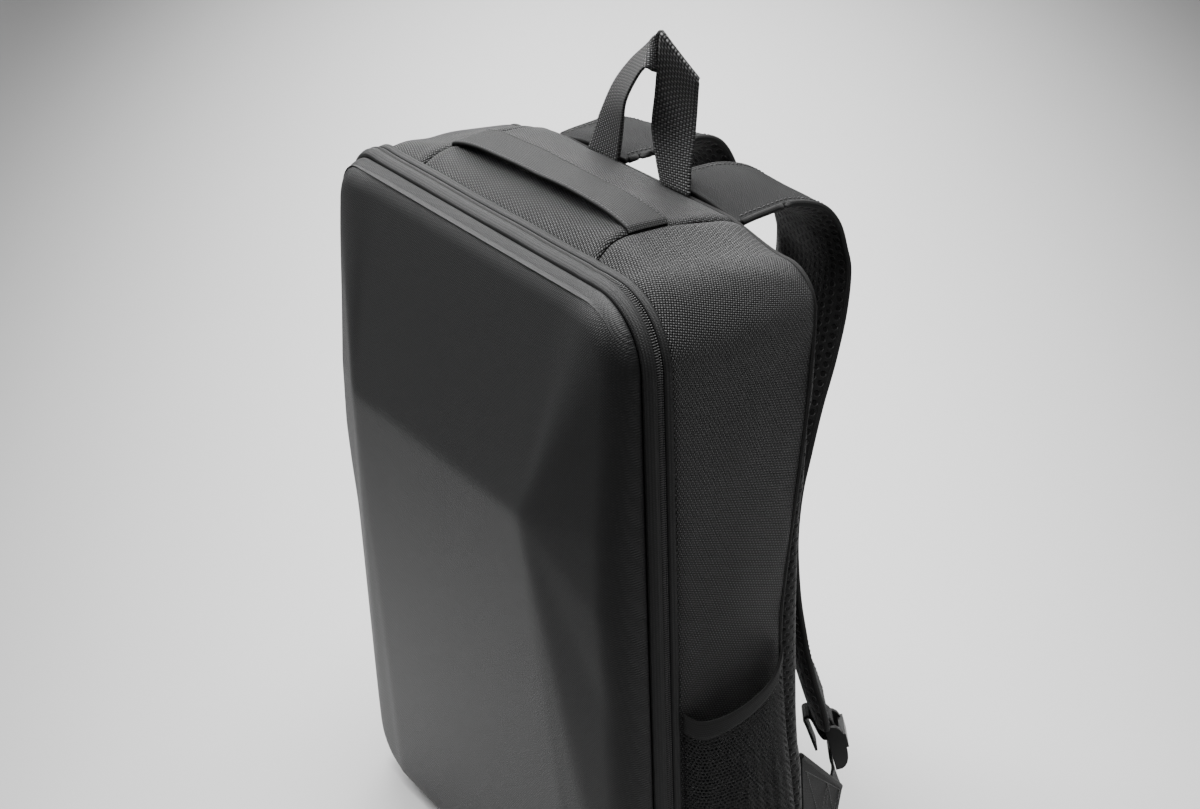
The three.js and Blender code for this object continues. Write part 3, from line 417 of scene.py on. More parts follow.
def wovenMaterial(name, dark, light, pitch, roughness, depth, turn=0.0, highlightNarrowing=1.0, specular=0.25):
    # painted shade between the threads and a painted highlight on them, as the dark and light tones; the
    # sharpness argument narrows the highlight
    material, tree, shader = startMaterial(name, light, roughness, specular=specular)
    weave = placeGroup(tree, "weave", coordinates(tree, "cloth", turn), Pitch_U=pitch[0], Pitch_V=pitch[1])
    cloudy = mottled(tree, 22.0, 0.16)
    tint(tree, shader, dark, light, mathNode(tree, "POWER", weave["Height"], highlightNarrowing), cloudy["Factor"])
    bump(tree, shader, [(weave["Height"], 0.9, depth), (cloudy["Fine"], 0.25, 0.0003)])
    return material


def punchedMaterial(name, dark, light, pitch, radius, relief, roughness, specular, kind="cloth", sheen=0.0,
                    isOpen=False, knitPitch=None, cloudy=None):
    # knit with rows of oval holes tinted dark, painted shade in their hollows; the holes are open in a net
    # and only painted dark in a padded mesh
    material, tree, shader = startMaterial(name, light, roughness, sheen=sheen, specular=specular)
    vector = coordinates(tree, kind)
    holes = placeGroup(tree, "holes", vector, Pitch_U=pitch[0], Pitch_V=pitch[1], Radius=radius, Soft=0.12)
    brightness = mottled(tree, *cloudy)["Factor"] if cloudy else None
    tint(tree, shader, light, dark, holes["Hole"], brightness)
    heights = [(holes["Height"], *relief)]
    if isOpen:
        tree.links.new(holes["Height"], shader.inputs["Alpha"])
    if knitPitch:
        knit = placeGroup(tree, "weave", vector, Pitch_U=knitPitch, Pitch_V=knitPitch)
        heights.append((knit["Height"], 0.5, 0.0002))
    bump(tree, shader, heights)
    return material


def cloudyMaterial(name, dark, light, roughness, scale, amount, relief=None, **gloss):
    # plain material with clouds of a second tone, and a fine relief where one is given
    material, tree, shader = startMaterial(name, light, roughness, **gloss)
    cloudy = mottled(tree, scale, amount)
    tint(tree, shader, dark, light, cloudy["Factor"])
    if relief:
        bump(tree, shader, [(cloudy["Fine"], *relief)])
    return material


shellFilm = filmMaterial("shellFilm", grey(0.005, 0.0005), grey(0.014, 0.001), roughness=0.5, pitch=0.0011,
                         turn=0.7, specular=0.42)
# each woven cloth paints a highlight on its thread tops and shade between them; the body cloth's bright dots
# are painted highlights on the weave
bodyCloth = wovenMaterial("bodyCloth", grey(0.002), grey(0.16, 0.002), pitch=(0.0013, 0.0013), roughness=0.5,
                          depth=0.0012, turn=0.35, highlightNarrowing=2.8, specular=0.45)
handleCloth = wovenMaterial("handleCloth", grey(0.004), grey(0.09, 0.001), pitch=(0.0009, 0.0013),
                            roughness=0.6, depth=0.0006, highlightNarrowing=1.6, specular=0.3)
strapCloth = wovenMaterial("strapCloth", grey(0.005), grey(0.024, 0.001), pitch=(0.001, 0.001),
                           roughness=0.7, depth=0.00025, turn=0.78, specular=0.2)
tapeCloth = wovenMaterial("tapeCloth", grey(0.008), grey(0.03, 0.001), pitch=(0.0007, 0.0016),
                          roughness=0.55, depth=0.0002, specular=0.35)
# the loop's bright ribs are painted highlights, and the dark between them is painted shade
loopCloth = wovenMaterial("loopCloth", grey(0.002), grey(0.26), pitch=(0.00145, 0.0021), roughness=0.5,
                          depth=0.0014, highlightNarrowing=2.6, specular=0.4)
webbingCloth = wovenMaterial("webbingCloth", grey(0.002), grey(0.03), pitch=(0.00145, 0.0019), roughness=0.6,
                             depth=0.0008, highlightNarrowing=1.5)
wingCloth = wovenMaterial("wingCloth", grey(0.004), grey(0.018), pitch=(0.001, 0.001), roughness=0.7,
                          depth=0.0003, turn=0.78, specular=0.2)
bindingCloth = wovenMaterial("bindingCloth", grey(0.006), grey(0.04), pitch=(0.0006, 0.0012), roughness=0.65,
                             depth=0.0002)
airMesh = punchedMaterial("airMesh", grey(0.001), grey(0.016), pitch=(0.0058, 0.0044), radius=0.3,
                          relief=(1.0, 0.0012), roughness=0.85, specular=0.25, sheen=0.25, knitPitch=0.0007)
backMesh = punchedMaterial("backMesh", grey(0.003), grey(0.024), pitch=(0.0052, 0.0042), radius=0.28,
                           relief=(1.0, 0.0011), roughness=0.85, specular=0.25, kind="upright", sheen=0.25,
                           cloudy=(30.0, 0.15))
pocketNet = punchedMaterial("pocketNet", grey(0.001), grey(0.024), pitch=(0.0028, 0.0023), radius=0.34,
                            relief=(0.8, 0.0004), roughness=0.7, specular=0.3, isOpen=True)
sewingThread = cloudyMaterial("sewingThread", grey(0.03), grey(0.085), roughness=0.6, scale=900.0, amount=0.5,
                              sheen=0.2)
lockPlastic = cloudyMaterial("lockPlastic", grey(0.01), grey(0.018), roughness=0.42, scale=500.0, amount=0.25,
                             relief=(0.2, 0.0002), specular=0.3)
zipTeeth = cloudyMaterial("zipTeeth", grey(0.05), grey(0.16), roughness=0.35, scale=600.0, amount=0.3)
sliderMetal = cloudyMaterial("sliderMetal", grey(0.06), grey(0.1), roughness=0.32, scale=300.0, amount=0.4,
                             relief=(0.15, 0.0001), metallic=0.8)
print("materials built")


# outlines shared by the shell, the zip band and the cloth body

case = {"height": 430, "depth": 106, "lift": 3}
rimY = -case["depth"] / 2
seams = (86, 94)  # where the top's seams cross the rim, on the right and on the left
rim = {"half": 150, "top": case["lift"] + case["height"], "foot": case["lift"],
       "topRadius": (36, 25), "footRadius": 36, "breakX": seams}
rear = {"half": 154, "top": 435, "foot": 0, "topRadius": (22, 22), "footRadius": 32, "breakX": seams}
shoulder = {"drop": 8, "startX": 72, "spanX": 56, "startZ": 380, "spanZ": 35}
centreZ = (rim["top"] + rim["foot"]) / 2


def halfPlace(place):
    # place counted down either side alike, 0 at the top centre and 7 at the bottom centre
    wrapped = np.mod(place, 14)
    return np.where(wrapped > 7, 14 - wrapped, wrapped)


def outlineAt(place, o):
    # place runs 0 at the top centre, 2-3 round the top corner, 3-4 down the side, 4-5 round
    # the foot corner, 7 at the bottom centre, and on to 14 up the other side
    u = halfPlace(place)
    side = np.where(np.mod(place, 14) > 7, -1.0, 1.0)
    half, top, foot, rf = (o[k] for k in ("half", "top", "foot", "footRadius"))
    cut, rt = np.where(side > 0, *o["breakX"]), np.where(side > 0, *o["topRadius"])
    a, b = np.clip(u - 2, 0, 1) * np.pi / 2, np.clip(u - 4, 0, 1) * np.pi / 2
    x = np.select([u <= 1, u <= 2, u <= 3, u <= 4, u <= 5, u <= 6],
                  [cut * u, lerp(cut, half - rt, u - 1), half - rt + rt * np.sin(a), half + 0 * u,
                   half - rf + rf * np.cos(b), lerp(half - rf, cut, u - 5)], cut * (7 - u))
    z = np.select([u <= 2, u <= 3, u <= 4, u <= 5],
                  [top + 0 * u, top - rt + rt * np.cos(a), lerp(top - rt, foot + rf, u - 3),
                   foot + rf - rf * np.sin(b)], foot)
    nx = np.select([u <= 2, u <= 3, u <= 4, u <= 5], [0 * u, np.sin(a), 1 + 0 * u, np.cos(b)], 0)
    nz = np.select([u <= 2, u <= 3, u <= 4, u <= 5], [1 + 0 * u, np.cos(a), 0 * u, -np.sin(b)], -1)
    return x * side, z, nx * side, nz


def rearAt(place):
    # the rear outline with its shoulders lower than its middle
    x, z, nx, nz = outlineAt(place, rear)
    outer = smoothStep((np.abs(x) - shoulder["startX"]) / shoulder["spanX"])
    upper = smoothStep((z - shoulder["startZ"]) / shoulder["spanZ"])
    return x, z - shoulder["drop"] * outer * upper, nx, nz


def evenPlaces(start, end, spacing, o=rim):
    # places the same distance apart along an outline, and how far along each one is
    place = np.linspace(start, end, 6000)
    x, z = outlineAt(place, o)[:2]
    run = np.concatenate([[0], np.cumsum(np.hypot(np.diff(x), np.diff(z)))])
    at = np.linspace(0, run[-1], int(run[-1] / spacing) + 1)
    return np.interp(at, run, place), at


# moulded front shell

shell = {
    "ridgeRise": 42, "ridgeHeight": 308, "ridgeHalf": 92.5, "topRise": 11, "footRise": 25,
    "edgeInset": 10.5, "roundTop": 15, "roundSide": 14, "powerTop": 2.1, "powerSide": 2.7,
    "crease": 3.4, "softCrease": 9, "softStart": 345, "softSpan": 60, "fanBreak": 110, "step": 1.5,
    "spacing": 2.2,
    "edgeRows": [(0.084, 22.2), (0.46, 22.8), (0.525, 24.4), (0.6, 25.5), (0.7, 24), (0.8, 20.2),
                 (0.916, 16.4)],  # height up the side as a share, and the edge's rise there
    "lipRows": [(3.2, 9), (3.1, 3), (2.9, 0.6), (2.3, 0), (0.9, 0)],  # inset and depth inside the rim
}


def edgeRise(place):
    u = halfPlace(place)
    table = np.array(shell["edgeRows"])
    height = lerp(0.916, 0.084, np.clip(u - 3, 0, 1))
    sideRise = np.interp(height, table[:, 0], table[:, 1])
    rise = lerp(shell["topRise"], sideRise, smoothStep((u - 1) / 2))
    return lerp(rise, shell["footRise"], smoothStep((u - 4) / 2))


def blurred(height, width):
    # Gaussian blur along both axes of a grid, width in grid steps
    reach = int(width * 3.5)
    taps = np.arange(-reach, reach + 1)
    kernel = np.exp(-((taps / width) ** 2) / 2)
    kernel /= kernel.sum()
    for axis in (0, 1):
        padded = np.pad(height, [(reach, reach) if k == axis else (0, 0) for k in (0, 1)], mode="edge")
        height = np.apply_along_axis(lambda line: np.convolve(line, kernel, "valid"), axis, padded)
    return height


def facetField():
    # height of the flat facets over the rim plane on a regular grid, blurred so that the
    # creases turn softly: planes above and below the ridge, and a fan from each ridge end
    step = shell["step"]
    x = np.arange(-165, 165.1, step)
    z = np.arange(-12, 450.1, step)
    gx, gz = np.meshgrid(x, z, indexing="ij")
    top, foot = rim["top"] - shell["edgeInset"], rim["foot"] + shell["edgeInset"]
    ridge, high = shell["ridgeRise"], shell["ridgeHeight"]
    upper = ridge - (gz - high) / (top - high) * (ridge - shell["topRise"])
    lower = ridge - (high - gz) / (high - foot) * (ridge - shell["footRise"])
    height = np.where(gz > high, upper, lower)
    place = np.linspace(1, 6, 1200)
    px, pz, nx, nz = outlineAt(place, {**rim, "breakX": (shell["fanBreak"], shell["fanBreak"])})
    px, pz = px - nx * shell["edgeInset"] - shell["ridgeHalf"], pz - nz * shell["edgeInset"] - high
    angle = np.unwrap(np.arctan2(px, pz))
    reach = np.hypot(px, pz)
    dx, dz = np.abs(gx) - shell["ridgeHalf"], gz - high
    turn = np.arctan2(dx, dz)
    turn = np.where(turn < angle[0] - 0.5, turn + 2 * np.pi, turn)
    inFan = (turn >= angle[0]) & (turn <= angle[-1])
    share = np.hypot(dx, dz) / np.interp(turn, angle, reach)
    fan = ridge - (ridge - np.interp(turn, angle, edgeRise(place))) * share
    height = np.where(inFan, fan, height)
    crisp = blurred(height, shell["crease"] / step)
    soft = blurred(height, shell["softCrease"] / step)
    return x, z, lerp(crisp, soft, smoothStep((gz - shell["softStart"]) / shell["softSpan"]))


def sampleField(field, px, pz):
    x, z, height = field
    fx = np.clip((px - x[0]) / (x[1] - x[0]), 0, len(x) - 1.001)
    fz = np.clip((pz - z[0]) / (z[1] - z[0]), 0, len(z) - 1.001)
    i, j = fx.astype(int), fz.astype(int)
    a, b = fx - i, fz - j
    return ((1 - a) * (1 - b) * height[i, j] + a * (1 - b) * height[i + 1, j]
            + (1 - a) * b * height[i, j + 1] + a * b * height[i + 1, j + 1])


def buildShell():
    # rings round the rim: up the inner wall, over the rim's lip, up the outer wall on a
    # superellipse d = R(1 - cos^(2/p) t), h = H sin^(2/p) t, then scaled in to the centre
    field = facetField()
    place = evenPlaces(0, 14, shell["spacing"])[0][:-1]
    x, z, nx, nz = outlineAt(place, rim)
    topness = np.clip(nz, 0, 1)
    radius = lerp(shell["roundSide"], shell["roundTop"], topness)
    power = lerp(shell["powerSide"], shell["powerTop"], topness)
    rows = [np.stack([x - nx * inset, rimY - ahead + 0 * x, z - nz * inset], -1)
            for inset, ahead in shell["lipRows"]]
    for t in np.linspace(0.02, np.pi / 2, 26):
        d = 0.4 + radius * (1 - np.cos(t) ** (2 / power))
        px, pz = x - nx * d, z - nz * d
        rows.append(np.stack([px, rimY - sampleField(field, px, pz) * np.sin(t) ** (2 / power), pz], -1))
    start = rows[-1]
    for k in np.linspace(0, 1, 62)[1:-1]:
        px, pz = start[:, 0] * (1 - k), centreZ + (start[:, 2] - centreZ) * (1 - k)
        rows.append(np.stack([px, rimY - sampleField(field, px, pz), pz], -1))
    # a last ring so small that it closes the middle
    middle = np.array([0, rimY - float(sampleField(field, np.array(0.0), np.array(centreZ))), centreZ])
    last = middle + (rows[-1] - middle) * 0.02
    last[:, 1] = middle[1]
    grid = np.stack([*rows, last])
    closed = tubeFaces(*grid.shape[:2])
    quads, caps = closed[:-(len(place) // 2 - 1) * 2], closed[-(len(place) // 2 - 1):]
    faces = np.concatenate([quads, caps])  # closed in front, open behind
    flat = grid.reshape(-1, 3)[faces.ravel()][:, [0, 2]]  # film lies flat over the front
    makePiece("shellFront", grid, faces, [shellFilm], flat, replaced=["front_shell"])


buildShell()
print("shell built")


# zip band

band = {
    "front": (0.3, 10.4), "rear": (11.8, 17.0), "proud": 2.8, "sink": -1.6, "cornerPush": 1.5,
    "edgeRound": 1.3, "slope": 1.5, "hem": 0.3, "spacing": 2.4, "pushPlace": 11.55, "pushWidth": 0.5,
    "wrinkle": 0.25, "tooth": (1.3, 0.75, 0.25), "toothPitch": 1.35, "toothPlace": (11.1, 1.3),
    "stitch": (2.6, 0.55, 0.15), "stitchPlace": (8.3, 2.85),
}


def rimPush(place):
    # the tape stands further out where it turns the far top corner
    corner = band["cornerPush"] * bell(place, band["pushPlace"], band["pushWidth"])
    return corner + band["wrinkle"] * ripple(place * 60, 0 * place, 50, 4)


def buildTape(name, start, end, slitSide, node):
    # a rounded section carried round the rim; the shell side has a raised hem
    place, run = evenPlaces(0, 14, band["spacing"])
    loop = run[-1]
    place, run = place[:-1], run[:-1]
    x, z, nx, nz = outlineAt(place, rim)
    width = end - start
    s = np.linspace(0, 1, 15)
    hem = band["hem"] * bell(s, 0.3, 0.25) - 0.2 * bell(s, 0.95, 0.1)
    edge = np.clip(np.minimum(s, 1 - s) * width / band["edgeRound"], 0, 1)
    slope = band["slope"] * (1 - smoothStep(s * 2)) if slitSide == "end" else 0
    outer = band["proud"] - slope - band["edgeRound"] * (1 - np.sqrt(edge * (2 - edge))) + hem
    if slitSide == "start":
        outer = outer[::-1]
    section = np.concatenate([
        np.stack([start + s * width, outer], -1),
        np.stack([np.linspace(end, start, 6), np.full(6, band["sink"])], -1),
    ])
    push = rimPush(place)
    out = section[None, :, 1] + (push * 0.9)[:, None] * (section[None, :, 1] > 0)
    grid = np.stack([
        x[:, None] + nx[:, None] * out,
        rimY + section[None, :, 0] + 0 * out,
        z[:, None] + nz[:, None] * out,
    ], -1)
    faces = gridFaces(len(place), len(section), True, True)
    around = lengthAlong(section)
    around = np.append(around, around[-1] + 2)
    uv = np.stack(np.broadcast_arrays(np.append(run, loop)[:, None], around[None]), -1)
    makePiece(name, grid, faces, [tapeCloth], gridCorners(uv), replaced=[node])


def rimFrames(back, out):
    # points round the rim with their direction and outward normal
    place = evenPlaces(0, 14, band["toothPitch"])[0][:-1]
    x, z, nx, nz = outlineAt(place, rim)
    out = out + rimPush(place) * 0.9
    centre = np.stack([x + nx * out, rimY + back + 0 * x, z + nz * out], -1)
    outward = np.stack([nx, 0 * nx, nz], -1)
    along = np.stack([nz, 0 * nx, -nx], -1)
    return centre, along, outward


def buildZip():
    buildTape("zipTapeFront", *band["front"], "end", "zip_tape_front")
    buildTape("zipTapeRear", *band["rear"], "start", "zip_tape_rear")
    centre, along, outward = rimFrames(*band["toothPlace"])
    thread("zipTeeth", centre, np.cross(along, outward), outward, band["tooth"], zipTeeth,
           replaced=["zip_coil"])
    centre, along, outward = rimFrames(*band["stitchPlace"])
    thread("ladderStitch", centre, np.cross(along, outward), outward, band["stitch"], sewingThread)


buildZip()
print("zip band built")


# cloth body

body = {
    "wall": 1.8, "seat": 1.8, "start": 17.3, "topCrown": 9.5, "shoulderCrown": 1.5, "sideCrown": 3,
    "span": 88, "seamGap": 0.004, "piping": 1.6, "spacing": 1.9, "seamRoll": 1.5, "bandRoll": 0.9,
    "slowFold": (0.45, 80), "quickFold": (0.16, 26),
    "crownRight": (0, 0.74, 1.0, 1.06, 1.03, 0.98, 0.88, 0.75, 0.58, 0.36, 0),
    "crownLeft": (0, 0.45, 0.67, 0.76, 0.86, 0.98, 1.04, 1.0, 0.88, 0.6, 0),
    "sideRows": [(0.084, 0.945, 1.02), (0.24, 0.875, 0.99), (0.35, 0.82, 0.955), (0.46, 0.79, 0.945),
                 (0.525, 0.8, 0.945), (0.62, 0.858, 0.955), (0.7, 0.912, 0.98), (0.78, 0.962, 1.015),
                 (0.86, 0.995, 1.045), (0.916, 1.0, 1.055)],  # height, rear seam and back, as shares
    # height in millimetres, place and width over the depth, place and width along the outline
    "folds": [(1.1, 0.13, 0.09, 1.9, 0.75), (-0.5, 0.3, 0.1, 1.8, 0.7),
              (-0.9, 0.62, 0.07, 0.93, 0.1), (0.8, 0.22, 0.06, 0.9, 0.12)],
}
sideTable = np.array(body["sideRows"])


def crownShape(side, back):
    # share of the crown at tenths of the depth, for the right and the left half of the top
    tenths = np.linspace(0, 1, 11)
    fine = np.linspace(0, 1, 201)
    shapes = []
    for key in ("crownRight", "crownLeft"):
        smooth = splineRows(np.stack([tenths, body[key]], -1), 201)
        shapes.append(np.interp(back, fine, smooth[:, 1]))
    return lerp(shapes[1], shapes[0], smoothStep(0.5 + side / 2))


def crownAt(u, side):
    fall = np.where(side > 0, 2.0, 1.3)
    crown = lerp(body["topCrown"], body["shoulderCrown"], smoothStep((u - 1) / fall))
    crown = np.where(u > 3, lerp(body["shoulderCrown"], body["sideCrown"], smoothStep((u - 3) * 3)), crown)
    return np.where(u > 4, lerp(body["sideCrown"], 0, smoothStep(u - 4)), crown)


def sideCurve(height, column):
    # a column of the side's table by height, with its corners smoothed, in millimetres
    even = np.linspace(0, 1, 200)
    values = np.interp(even, sideTable[:, 0], sideTable[:, column])
    values = np.convolve(np.pad(values, 9, mode="edge"), np.hanning(19) / np.hanning(19).sum(), "valid")
    return case["depth"] * np.interp(height, even, values)


def rearDepth(u):
    height = lerp(sideTable[-1, 0], sideTable[0, 0], np.clip(u - 3, 0, 1))
    return sideCurve(np.where(u < 3, 1.0, np.where(u > 4, 0.0, height)), 1)


def backDepth(z):
    return sideCurve((z - case["lift"]) / case["height"], 2)


def bodyPoint(place, back, extra=0.0):
    # front outline carried to the rear outline, pushed out by a seat that fades and by a crown:
    # its own table over the top, sin(pi * back) to the 0.75 down the sides
    u = halfPlace(place)
    fx, fz, fnx, fnz = outlineAt(place, rim)
    rx, rz, rnx, rnz = rearAt(place)
    seat = np.where(u <= 4, body["seat"], lerp(body["seat"], case["lift"], smoothStep(u - 4)))
    side = np.where(np.mod(place, 14) > 7, -1.0, 1.0) * np.minimum(u, 1)
    arch = np.sin(np.pi * np.clip(back, 1e-4, 1 - 1e-4)) ** 0.75
    shape = lerp(crownShape(side, back), arch, smoothStep((u - 1.4) / 1.6))
    out = seat * (1 - back) + crownAt(u, side) * shape + extra
    blend = smoothStep(back)
    nx, nz = lerp(fnx, rnx, blend), lerp(fnz, rnz, blend)
    z = np.maximum(lerp(fz, rz, back) + nz * out, 0.0)
    y = rimY + lerp(body["start"], rearDepth(u), back)
    point = np.stack(np.broadcast_arrays(lerp(fx, rx, back) + nx * out, y, z), -1)
    return point, unit(np.stack(np.broadcast_arrays(nx, 0 * nx, nz), -1))


def clothFolds(place, back, run):
    # soft folds: slow ripples, one low ridge beside the zip band at the near top corner, and
    # short creases that fan from the ends of the handle
    depth = back * body["span"]
    (slow, slowLength), (quick, quickLength) = body["slowFold"], body["quickFold"]
    folds = slow * ripple(run, depth, slowLength, 11) + quick * ripple(run, depth, quickLength, 12)
    u = halfPlace(place)
    for height, backPlace, backWidth, outlinePlace, outlineWidth in body["folds"]:
        folds = folds + height * bell(back, backPlace, backWidth) * bell(u, outlinePlace, outlineWidth)
    return folds * smoothStep((5.2 - u) * 1.5)


def buildPanel(name, start, end, node):
    # outer face and the same face moved in by the wall, closed along all four edges; the
    # cloth rolls in by a little where it meets a seam
    place, run = evenPlaces(start + body["seamGap"], end - body["seamGap"], body["spacing"])
    back = np.concatenate([[0, 0.006, 0.018], np.linspace(0.035, 0.965, 44), [0.982, 0.994, 1]])
    p, b = np.meshgrid(place, back, indexing="ij")
    r = np.broadcast_to(run[:, None], p.shape)
    toSeam = np.minimum(r, run[-1] - r)
    toBack = np.minimum(b, 1 - b) * body["span"]
    roll = -body["seamRoll"] * np.exp(-toSeam / 1.1) - body["bandRoll"] * np.exp(-toBack / 1.2)
    roll = roll + 0.5 * bell(toSeam, 5.5, 3)
    point, normal = bodyPoint(p, b, clothFolds(p, b, r) + roll)
    inner = point - normal * body["wall"]
    inner[..., 2] = np.where(point[..., 2] < 3, np.maximum(point[..., 2], 0) + 0.6, inner[..., 2])
    rings = np.concatenate([point, inner[:, ::-1]], 1)
    uv = tubeUv(run, thereAndBack(back * body["span"]))
    piece = makePiece(name, rings, tubeFaces(*rings.shape[:2]), [bodyCloth], uv, replaced=[node])


def tube(name, path, radius, material, closed=False):
    # a round section carried along a path; its side axis comes from the path's own turn
    path = np.asarray(path, float)
    count = 10
    if closed:
        forward = unit(np.roll(path, -1, 0) - np.roll(path, 1, 0))
    else:
        forward = unit(np.gradient(path, axis=0))
    guide = np.array([0.0, 1.0, 0.0]) if abs(forward[:, 1]).mean() < 0.7 else np.array([0.0, 0.0, 1.0])
    side = unit(np.cross(forward, guide))
    up = np.cross(side, forward)
    angle = (np.arange(count) * 2 * np.pi / count)[None, :, None]
    rings = path[:, None] + radius * (np.cos(angle) * side[:, None] + np.sin(angle) * up[:, None])
    run = lengthAlong(path)
    around = np.linspace(0, 2 * np.pi * radius, count + 1)
    if closed:
        faces = gridFaces(len(path), count, True, True)
        run = np.append(run, run[-1] + 1)
        uv = gridCorners(np.stack(np.broadcast_arrays(run[:, None], around[None]), -1))
    else:
        faces, uv = tubeFaces(len(path), count), tubeUv(run, around)
    makePiece(name, rings, faces, [material], uv)


def buildBody():
    buildPanel("topPanel", -1, 1, "top_panel")
    buildPanel("sidePanelRight", 1, 6, "side_panel_right")
    buildPanel("sidePanelLeft", 8, 13, "side_panel_left")
    buildPanel("bottomPanel", 6, 8, "bottom_panel")
    place = evenPlaces(0, 14, 3.0, rear)[0][:-1]
    point = bodyPoint(place, 1 + 0 * place, -1.2)[0]
    point[:, 2] = np.maximum(point[:, 2], body["piping"] + 0.1)
    tube("rearPiping", point + np.array([0, 0.6, 0]), body["piping"], bindingCloth, closed=True)


buildBody()
print("cloth body built")


# padded back

pad = {
    "edgeInset": 0.6, "edgeRound": 6, "crown": 6, "core": 95, "gap": 0.3,
    "rootPress": 2.4, "rootPlace": 84, "rootWidth": 17, "channels": [0.2, 0.38, 0.56, 0.74],
    "channelDepth": 3.4, "channelWidth": 5.0, "middleWidth": 7.5, "channelEnd": 128,
    "voxel": 0.005, "pressure": 4.0, "cap": 0.004, "pinHalf": (152, 214), "spacing": 3.4, "fill": 0.7,
}


def channelMask(x, z):
    # 1 in the sewn channels: one upright in the middle and level ones that stop at it
    share = (z - case["lift"]) / case["height"]
    level = sum(bell(share, at, pad["channelWidth"] / case["height"]) for at in pad["channels"])
    level = level * smoothStep((np.abs(x) - 8) / 6) * smoothStep((pad["channelEnd"] - np.abs(x)) / 8)
    upright = bell(x, 0, pad["middleWidth"])
    upright = upright * smoothStep((share - 0.08) * 14) * smoothStep((0.9 - share) * 14)
    return np.clip(level + upright, 0, 1)


def backGrid():
    # rings of the rear outline: flat core face, edge, rounded rim, and a crowned back that
    # falls in towards its channels
    place = evenPlaces(0, 14, pad["spacing"], rear)[0][:-1]
    x, z, nx, nz = rearAt(place)
    pressed = bell(np.abs(x), pad["rootPlace"], pad["rootWidth"])  # by the roots of the straps
    z = z - pad["rootPress"] * pressed * smoothStep((z - 400) / 20)
    seam = rearDepth(halfPlace(place)) + pad["gap"]
    ix, iz = x - nx * pad["edgeRound"], z - nz * pad["edgeRound"]
    rows = []
    for k in np.linspace(0.02, 1, 26):
        depth = lerp(pad["core"], seam, smoothStep((k - 0.5) / 0.5))
        rows.append(np.stack([ix * k, depth, centreZ + (iz - centreZ) * k], -1))
    for t in np.linspace(0, 1, 9)[1:]:
        angle = t * np.pi / 2
        inset = lerp(pad["edgeInset"], pad["edgeRound"], 1 - np.cos(angle))
        px, pz = x - nx * inset, z - nz * inset
        rows.append(np.stack([px, lerp(seam, backDepth(pz), np.sin(angle) ** 0.8), pz], -1))
    for k in np.linspace(1, 0.02, 60)[1:]:
        px, pz = ix * k, centreZ + (iz - centreZ) * k
        crown = pad["crown"] * (1 - k * k)
        fall = pad["channelDepth"] * channelMask(px, pz) * smoothStep((1 - k) * 6)
        rows.append(np.stack([px, backDepth(pz) + crown - fall, pz], -1))
    grid = np.stack(rows)
    grid[..., 1] += rimY
    return grid


def inflate(piece, pinned):
    # remesh, let the cloth swell between its pins, and cap the movement
    view = bpy.context.view_layer
    view.objects.active = piece
    piece.select_set(True)
    remesh = piece.modifiers.new("even", "REMESH")
    remesh.mode = "VOXEL"
    remesh.voxel_size = pad["voxel"]
    bpy.ops.object.modifier_apply(modifier=remesh.name)
    mesh = piece.data
    before = np.empty(len(mesh.vertices) * 3)
    mesh.vertices.foreach_get("co", before)
    before = before.reshape(-1, 3)
    group = piece.vertex_groups.new(name="pins")
    weight = np.round(np.clip(pinned(before * 1000), 0, 1), 2)
    for value in np.unique(weight):
        group.add(np.flatnonzero(weight == value).tolist(), float(value), "REPLACE")
    cloth = piece.modifiers.new("cloth", "CLOTH")
    settings = cloth.settings
    settings.use_pressure = True
    settings.uniform_pressure_force = pad["pressure"]
    settings.vertex_group_mass = "pins"
    settings.effector_weights.gravity = 0
    settings.quality = 5
    scene = bpy.context.scene
    for step in range(1, 21):
        scene.frame_set(step)
    posed = piece.evaluated_get(bpy.context.evaluated_depsgraph_get()).data
    after = np.empty(len(posed.vertices) * 3)
    posed.vertices.foreach_get("co", after)
    move = after.reshape(-1, 3) - before
    size = np.linalg.norm(move, axis=1, keepdims=True)
    move *= np.minimum(1, pad["cap"] / np.maximum(size, 1e-9))
    piece.modifiers.remove(cloth)
    mesh.vertices.foreach_set("co", (before + move).ravel())
    scene.frame_set(1)
    piece.select_set(False)


def buildBack():
    grid = backGrid()
    faces = tubeFaces(*grid.shape[:2])
    piece = makePiece("backPad", grid, faces, [backMesh], replaced=["back_panel"])

    def pinned(p):
        inside = p[:, 1] < rimY + backDepth(p[:, 2]) - 3
        edge = np.maximum(np.abs(p[:, 0]) / pad["pinHalf"][0], np.abs(p[:, 2] - centreZ) / pad["pinHalf"][1])
        held = np.maximum(channelMask(p[:, 0], p[:, 2]), smoothStep((edge - 0.9) / 0.06))
        return np.where(inside, 1.0, held)

    inflate(piece, pinned)
    piece.data.polygons.foreach_set("use_smooth", np.ones(len(piece.data.polygons), bool))
    finer = piece.modifiers.new("finer", "SUBSURF")
    finer.levels = finer.render_levels = 1


buildBack()
print("padded back built")


# top handle and hang loop

